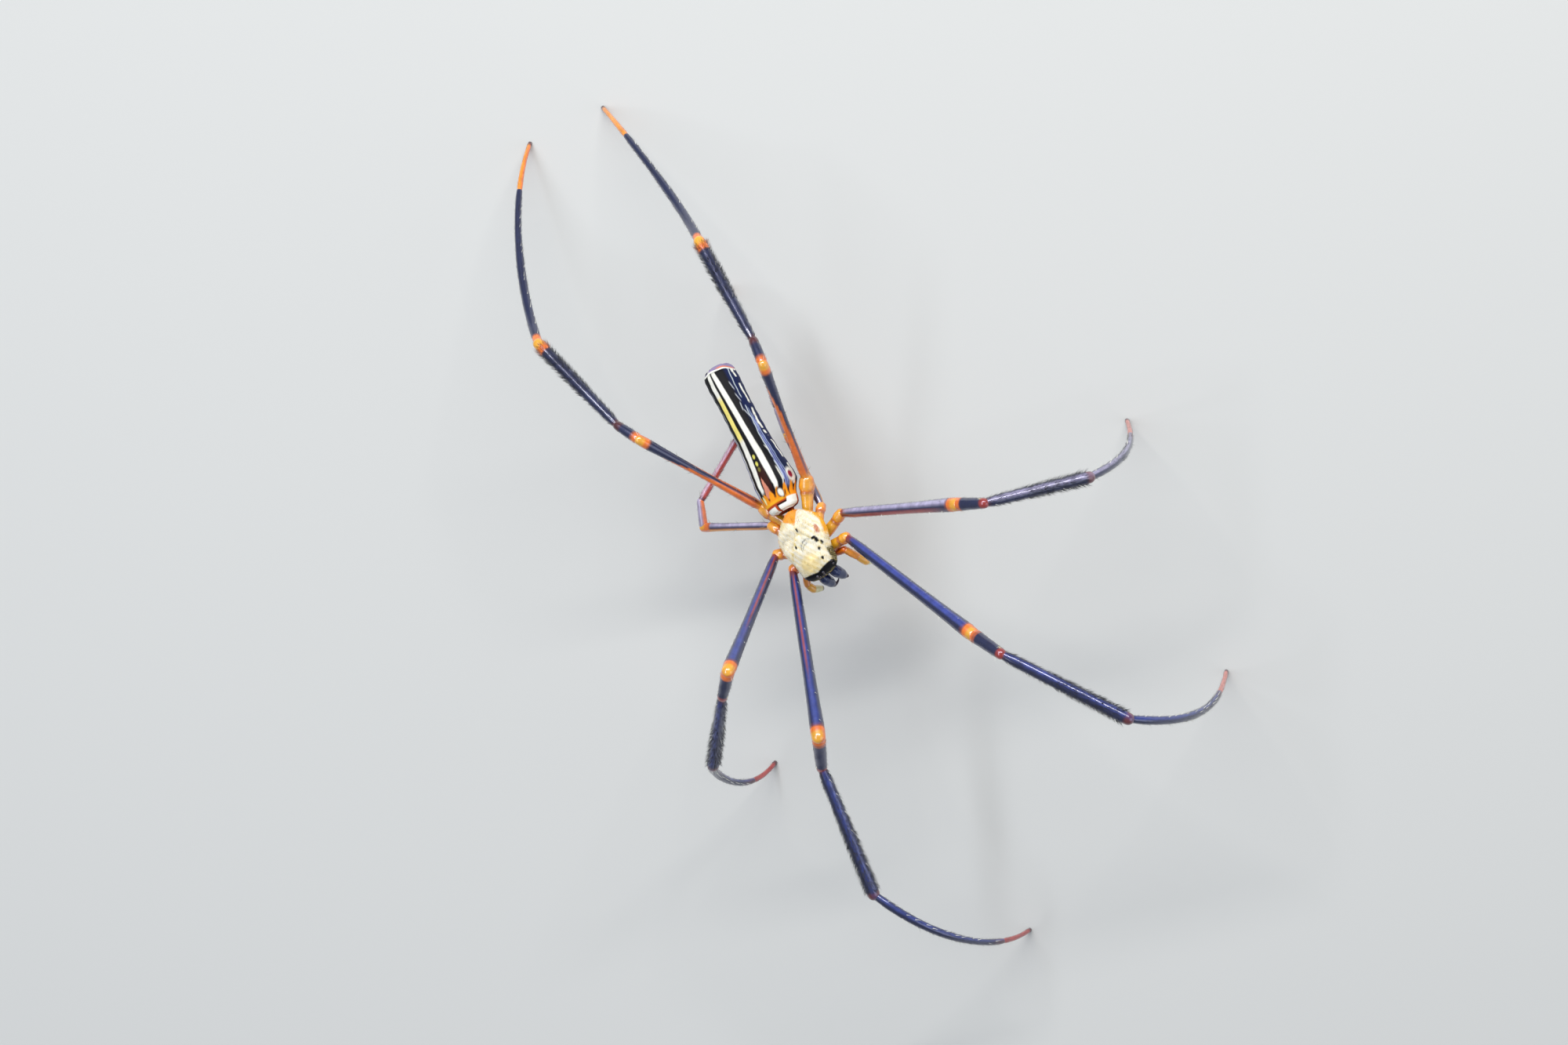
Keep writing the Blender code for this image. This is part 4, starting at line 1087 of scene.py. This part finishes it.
def grow(name, cloud, material, slender, bend, tousle, seed):
    """Hair on a cloud of roots, given as places in millimetres, aims, leans, sizes, tints and
    places in the UV map. Hairs that would leave the frame's box are left off."""
    roots, aims, leans, sizes, tints, unwraps = cloud
    low, high = np.array(CAD_BOX[0]) / MM, np.array(CAD_BOX[1]) / MM
    aims = unit(aims)
    tips = roots + (aims * (1 + tousle * 0.3) + leans * bend) * sizes[:, None] * 1.05
    inside = ((tips > low + 0.05) & (tips < high - 0.05)).all(axis=1) & (tips[:, 2] > 0.1)
    mesh = bpy.data.meshes.new(name + "_roots")
    mesh.from_pydata((roots[inside] * MM).tolist(), [], [])
    extra = np.zeros((len(roots), 1))
    for field, kind, socket, values in (("aim", "FLOAT_VECTOR", "vector", aims),
                                        ("lean", "FLOAT_VECTOR", "vector", leans),
                                        ("root", "FLOAT_VECTOR", "vector", np.hstack([unwraps, extra])),
                                        ("size", "FLOAT", "value", sizes * MM),
                                        ("tint", "FLOAT_COLOR", "color", np.hstack([tints, extra + 1]))):
        layer = mesh.attributes.new(field, kind, "POINT")
        layer.data.foreach_set(socket, values[inside].ravel())
    guide = bpy.data.objects.new(name + "_roots", mesh)
    bpy.context.scene.collection.objects.link(guide)
    tree = hair_tree(material, seed)
    modifier = guide.modifiers.new("grow", "NODES")
    modifier.node_group = tree
    inputs = {item.name: item.identifier for item in tree.interface.items_tree if item.in_out == "INPUT"}
    for label, value in (("Slenderness", slender), ("Bend", bend), ("Tousle", tousle)):
        modifier[inputs[label]] = value
    graph = bpy.context.evaluated_depsgraph_get()
    solid = bpy.data.meshes.new_from_object(guide.evaluated_get(graph), preserve_all_data_layers=True,
                                            depsgraph=graph)
    solid.name = name
    for field in ("aim", "lean", "root", "size", "patch"):
        if field in solid.attributes:
            solid.attributes.remove(solid.attributes[field])
    bpy.data.objects.remove(guide)
    thing = bpy.data.objects.new(name, solid)
    bpy.context.scene.collection.objects.link(thing)
    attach(thing, "root")
    print(name, int(inside.sum()), "hairs,", len(solid.polygons), "faces")


def joined(clouds):
    return [np.concatenate(fields) for fields in zip(*clouds)]


# %% [markdown]
# ## The silver coat
# The coat lies backward and outward from the middle of the head and leaves the black spots
# bare. Its roots come from the carapace formula itself, so each hair stands on the skin.
# It is silver with gold places, and orange where the skin below it is orange.

# %% Coat on the carapace
def coat_roots(count, seed):
    chance = np.random.default_rng(seed)
    x = chance.uniform(-1, 1, count * 3)
    forward = chance.uniform(0.02, 0.975, count * 3)
    reach = linear_stops(SHIELD_OUTLINE, forward)
    keep = np.abs(x) < reach
    x, forward = x[keep][:count], forward[keep][:count]
    turn = np.arcsin(np.clip(x / linear_stops(SHIELD_OUTLINE, forward), -0.995, 0.995))
    return forward, turn


COAT_HAIRS, COAT_SEED = 17000, 11
forward, turn = coat_roots(COAT_HAIRS, COAT_SEED)
roots = carapace_places(forward, turn)
step = 0.004
along_skin = carapace_places(forward - step, turn) - roots
round_skin = carapace_places(forward, turn + step * 5) - roots
normals = unit(np.cross(along_skin, round_skin))
normals *= np.sign(normals[:, 2:3] + 1e-9)
x, y = roots[:, 0], roots[:, 1]
backward = np.stack([0.35 * np.sign(x) * np.minimum(np.abs(x), 1.5) + 0.25 * wave(x + y * 0.7, 5),
                     np.ones_like(x), 0.2 * wave(y - x, 9)], axis=-1)
aims = backward - normals * np.einsum("ij,ij->i", backward, normals)[:, None]
aims = unit(aims) + normals * 0.38
sizes = 0.45 + 0.2 * np.random.default_rng(8).random(len(x))
skin_tints = carapace_tints(roots, np.cos(turn))
tip_tints = carapace_tints(roots + aims * sizes[:, None] * 0.75, np.cos(turn))
bare = (skin_tints.max(axis=1) < 0.15) | (tip_tints.max(axis=1) < 0.12)
pale = SILVER * (0.85 + 0.25 * np.random.default_rng(4).random(len(x)))[:, None]
gold = edge(-0.1, 0.6, wave(x * 0.9 + y * 0.4, 7)) * 0.35
gold = np.maximum(gold, edge(1.2, 0.7, np.hypot((x + 0.3) / 2.0, (y + 5.2) / 1.9)) * 0.7)
beside_groove = edge(0.45, 0.15, np.abs(np.abs(x) - 0.55 - np.clip(0.9 - y, 0, 4) * 0.85))
gold = np.maximum(gold, beside_groove * span(-3.4, -2, 0.8, 1.4, y) * 0.6)
gold = np.maximum(gold, edge(1.1, 0.6, np.hypot((x + 2.2) / 1.1, (y - 4.6) / 1.2)) * 0.6)
pale = blended(pale, GOLD, gold)
pale = blended(pale, WHITE, edge(1.5, 0.8, np.hypot((x - 0.9) / 1.3, (y + 1.2) / 1.6)) * 0.85)
for ring_x, ring_y, ring_size, first, last in FAINT_LINES:
    bearing = np.degrees(np.arctan2(y - ring_y, x - ring_x)) % 360
    ring = edge(0.16, 0.05, np.abs(np.hypot(x - ring_x, y - ring_y) - ring_size))
    pale = blended(pale, BLACK + 0.12, ring * span(first, first + 25, last - 25, last, bearing) * 0.8)
orange_place = edge(0.25, 0.45, skin_tints[:, 0] - skin_tints[:, 1])
tints = blended(pale, skin_tints * 1.05, orange_place * 0.9)
turn_body = np.array(BODY.to_3x3())
keep = ~bare & (np.random.default_rng(3).random(len(x)) > 0.12 + 0.5 * orange_place)
unwraps = np.stack([0.1 + 0.8 * (turn / math.pi + 0.5), 0.05 + 0.9 * forward], axis=-1)
cloud = (to_body(roots - normals * 0.03), aims @ turn_body.T, -normals @ turn_body.T, sizes, tints, unwraps)
grow("silver_coat", [field[keep] for field in cloud], HAIR, 0.05, 0.22, 0.2, 21)

# %% [markdown]
# ## Bristles and spines on the legs
# Every leg is covered in short dark bristles that lean toward the foot, thicker on the
# tibiae where the photograph shows a brush. Longer pale spines stand out along the feet
# every two or three millimetres. Both are grown on the tubes of the legs, which were
# kept as a path, widths and a side for this purpose.

# %% Roots on a leg's tubes
def on_tube(leg, name, share, angle):
    """Places, normals and headings on a leg tube at shares of its length and angles round it."""
    path, widths, side = LEG_TUBES[leg, name]
    ahead, out, across = path_frame(path, side)
    length = along_path(path)
    total = length[-1]
    shape = TUBES[name]
    width = tube_width(widths, share * total, total, shape.get("neck", 1), shape.get("lip", 1))

    def read(field):
        return np.stack([np.interp(share * total, length, field[:, axis]) for axis in range(3)], axis=-1)

    normal = read(out) * np.cos(angle)[:, None] + read(across) * np.sin(angle)[:, None]
    return read(path) + normal * width[:, None] / 2, normal, read(ahead), total


def leg_unwrap(leg, name, share, angle):
    column = list(STANCE).index(leg)
    row = list(TUBES).index(name)
    return np.stack([(column + 0.1 + 0.8 * (angle % (2 * math.pi)) / (2 * math.pi)) / 8,
                     (row + 0.05 + 0.9 * share) / len(TUBES)], axis=-1)


BRISTLES_PER_MM = {"coxa": 16, "trochanter": 22, "femur": 24, "patella": 30, "tibia": 75,
                   "metatarsus": 42, "tarsus": 30}
BRISTLE_LENGTH = {"coxa": 0.45, "trochanter": 0.4, "femur": 0.4, "patella": 0.5, "tibia": 0.8,
                  "metatarsus": 0.5, "tarsus": 0.4}


def bristles_of(leg, name, chance):
    """A cloud of roots over one tube of a leg."""
    pair = int(leg[-1])
    sparse = pair == 3
    total = along_path(LEG_TUBES[leg, name][0])[-1]
    count = int(BRISTLES_PER_MM[name] * (0.5 if sparse else 1.0) * total)
    share = chance.random(count)
    if name in ("tibia", "metatarsus") and not sparse:
        share = np.where(chance.random(count) < 0.4, 1 - (1 - share) * 0.6, share)
    share = share * 0.96 + 0.01
    angle = chance.uniform(0, 2 * math.pi, count)
    places, normal, ahead, total = on_tube(leg, name, share, angle)
    brush = edge(0.25, 0.7, share) if name == "tibia" and not sparse else np.zeros(count)
    sizes = BRISTLE_LENGTH[name] * chance.uniform(0.7, 1.25, count) * (1 + 0.25 * brush)
    skin = leg_tints(name, pair, leg, share * total, total, angle[:, None])[:, 0]
    white = name in ("coxa", "trochanter") or (name == "tarsus" and pair >= 3)
    paled = (0.75 if white else 0.0) * (chance.random(count) < 0.7)
    return (places - normal * 0.02, ahead * 0.8 + normal * (0.55 + 0.25 * brush)[:, None], ahead,
            sizes * (0.7 if sparse else 1), blended(BLACK * 1.5 + skin * 0.25, WHITE * 0.8, paled),
            leg_unwrap(leg, name, share, angle))


for pair, label in ((1, "first"), (2, "second"), (3, "third"), (4, "fourth")):
    chance = np.random.default_rng(40 + pair)
    clouds = [bristles_of(leg, name, chance) for leg, name in LEG_TUBES if int(leg[-1]) == pair]
    grow(label + "_leg_bristles", joined(clouds), HAIR, 0.032, 0.15, 0.22, 60 + pair)

# %% Pale spines
# Millimetres between two spines of a row
SPINE_STEP = {"femur": 4.6, "patella": 4.0, "tibia": 3.4, "metatarsus": 2.3}
clouds = []
chance = np.random.default_rng(77)
for leg, name in LEG_TUBES:
    if name not in SPINE_STEP:
        continue
    pair = int(leg[-1])
    pairs = max(int(along_path(LEG_TUBES[leg, name][0])[-1] / SPINE_STEP[name]), 1)
    share = np.repeat(np.linspace(0.08, 0.9, pairs), 2) + chance.uniform(-0.02, 0.02, pairs * 2)
    share = np.clip(share, 0, 1)
    angle = np.tile([1.15, -1.15], pairs) + chance.uniform(-0.45, 0.45, pairs * 2)
    places, normal, ahead, total = on_tube(leg, name, share, angle)
    pale = 0.85 if name in ("metatarsus", "patella") or pair <= 2 else 0.35
    clouds.append((places - normal * 0.03, normal * 0.8 + ahead * 0.75, ahead,
                   chance.uniform(0.85, 1.25, pairs * 2), np.tile(WHITE * pale, (pairs * 2, 1)),
                   leg_unwrap(leg, name, share, angle)))
grow("pale_spines", joined(clouds), HAIR, 0.06, 0.12, 0.1, 88)

# %% [markdown]
# ## Floor, light and camera
# A wide pale sheet is the floor. The light is a studio's: two long strips, one above the
# picture and one at its left, which draw a narrow shine along each dark tube, a square
# fill at the right and a pale sky. The camera looks almost straight down from far away
# through a long lens, as the photograph was framed, and its frame is 294 mm wide.

# %% Floor
floor_mesh = bpy.data.meshes.new("floor")
floor_mesh.from_pydata([(-3, -3, 0), (3, -3, 0), (3, 3, 0), (-3, 3, 0)], [], [(0, 1, 2, 3)])
paper = bpy.data.materials.new("pale_paper")
paper.use_nodes = True
paper.node_tree.nodes["Principled BSDF"].inputs["Base Color"].default_value = (0.62, 0.63, 0.62, 1)
paper.node_tree.nodes["Principled BSDF"].inputs["Roughness"].default_value = 0.85
floor_mesh.materials.append(paper)
floor = bpy.data.objects.new("floor", floor_mesh)
bpy.context.scene.collection.objects.link(floor)

# %% Camera
TO_CAMERA = Vector((0.2588, -0.0842, 0.9623)).normalized()
PICTURE_RIGHT = Vector((0.8307, -0.489, -0.2662)).normalized()
PICTURE_DOWN = PICTURE_RIGHT.cross(TO_CAMERA)
FRAME_WIDTH, DISTANCE = 294.0, 2400.0
# The middle of the picture, a little up and left of the body's middle
aim = Vector((0, 0, 26.1)) + MOVE - PICTURE_RIGHT * 4.7 - PICTURE_DOWN * 3.45
turn = Matrix((PICTURE_RIGHT, -PICTURE_DOWN, TO_CAMERA)).transposed()
camera = bpy.data.objects.new("camera", bpy.data.cameras.new("camera"))
camera.data.sensor_width = 36
camera.data.lens = 36 * DISTANCE / FRAME_WIDTH
camera.data.clip_end = 20
camera.matrix_world = Matrix.Translation((aim + TO_CAMERA * DISTANCE) * MM) @ turn.to_4x4()
bpy.context.scene.collection.objects.link(camera)
bpy.context.scene.camera = camera

# %% Lights
# Metres from the origin to each lamp
LIGHT_DISTANCE = 0.8


def soft_light(name, toward, along, size, length, power, colour):
    """A soft box, in metres, whose long side lies along a direction."""
    data = bpy.data.lights.new(name, "AREA")
    data.shape = "RECTANGLE"
    data.size, data.size_y, data.energy, data.color = size, length, power, colour
    light = bpy.data.objects.new(name, data)
    toward = Vector(toward).normalized()
    sideways = Vector(along).cross(toward).normalized()
    turn = Matrix((sideways, toward.cross(sideways), toward)).transposed()
    light.matrix_world = Matrix.Translation(toward * LIGHT_DISTANCE) @ turn.to_4x4()
    bpy.context.scene.collection.objects.link(light)


soft_light("key", TO_CAMERA - PICTURE_DOWN * 0.75 - PICTURE_RIGHT * 0.15, PICTURE_RIGHT, 0.10, 0.9, 6.0,
           (1.0, 0.98, 0.95))
soft_light("side", TO_CAMERA * 0.8 - PICTURE_RIGHT * 0.75, PICTURE_DOWN, 0.10, 0.8, 2.2, (0.9, 0.94, 1.0))
soft_light("fill", TO_CAMERA * 0.7 + PICTURE_RIGHT * 0.9 + PICTURE_DOWN * 0.3, PICTURE_DOWN, 0.6, 0.6, 1.2,
           (0.92, 0.96, 1.0))
world = bpy.data.worlds.new("studio")
world.use_nodes = True
world.node_tree.nodes["Background"].inputs["Color"].default_value = (0.85, 0.9, 1.0, 1)
world.node_tree.nodes["Background"].inputs["Strength"].default_value = 0.30
bpy.context.scene.world = world
bpy.context.scene.view_settings.view_transform = "Standard"
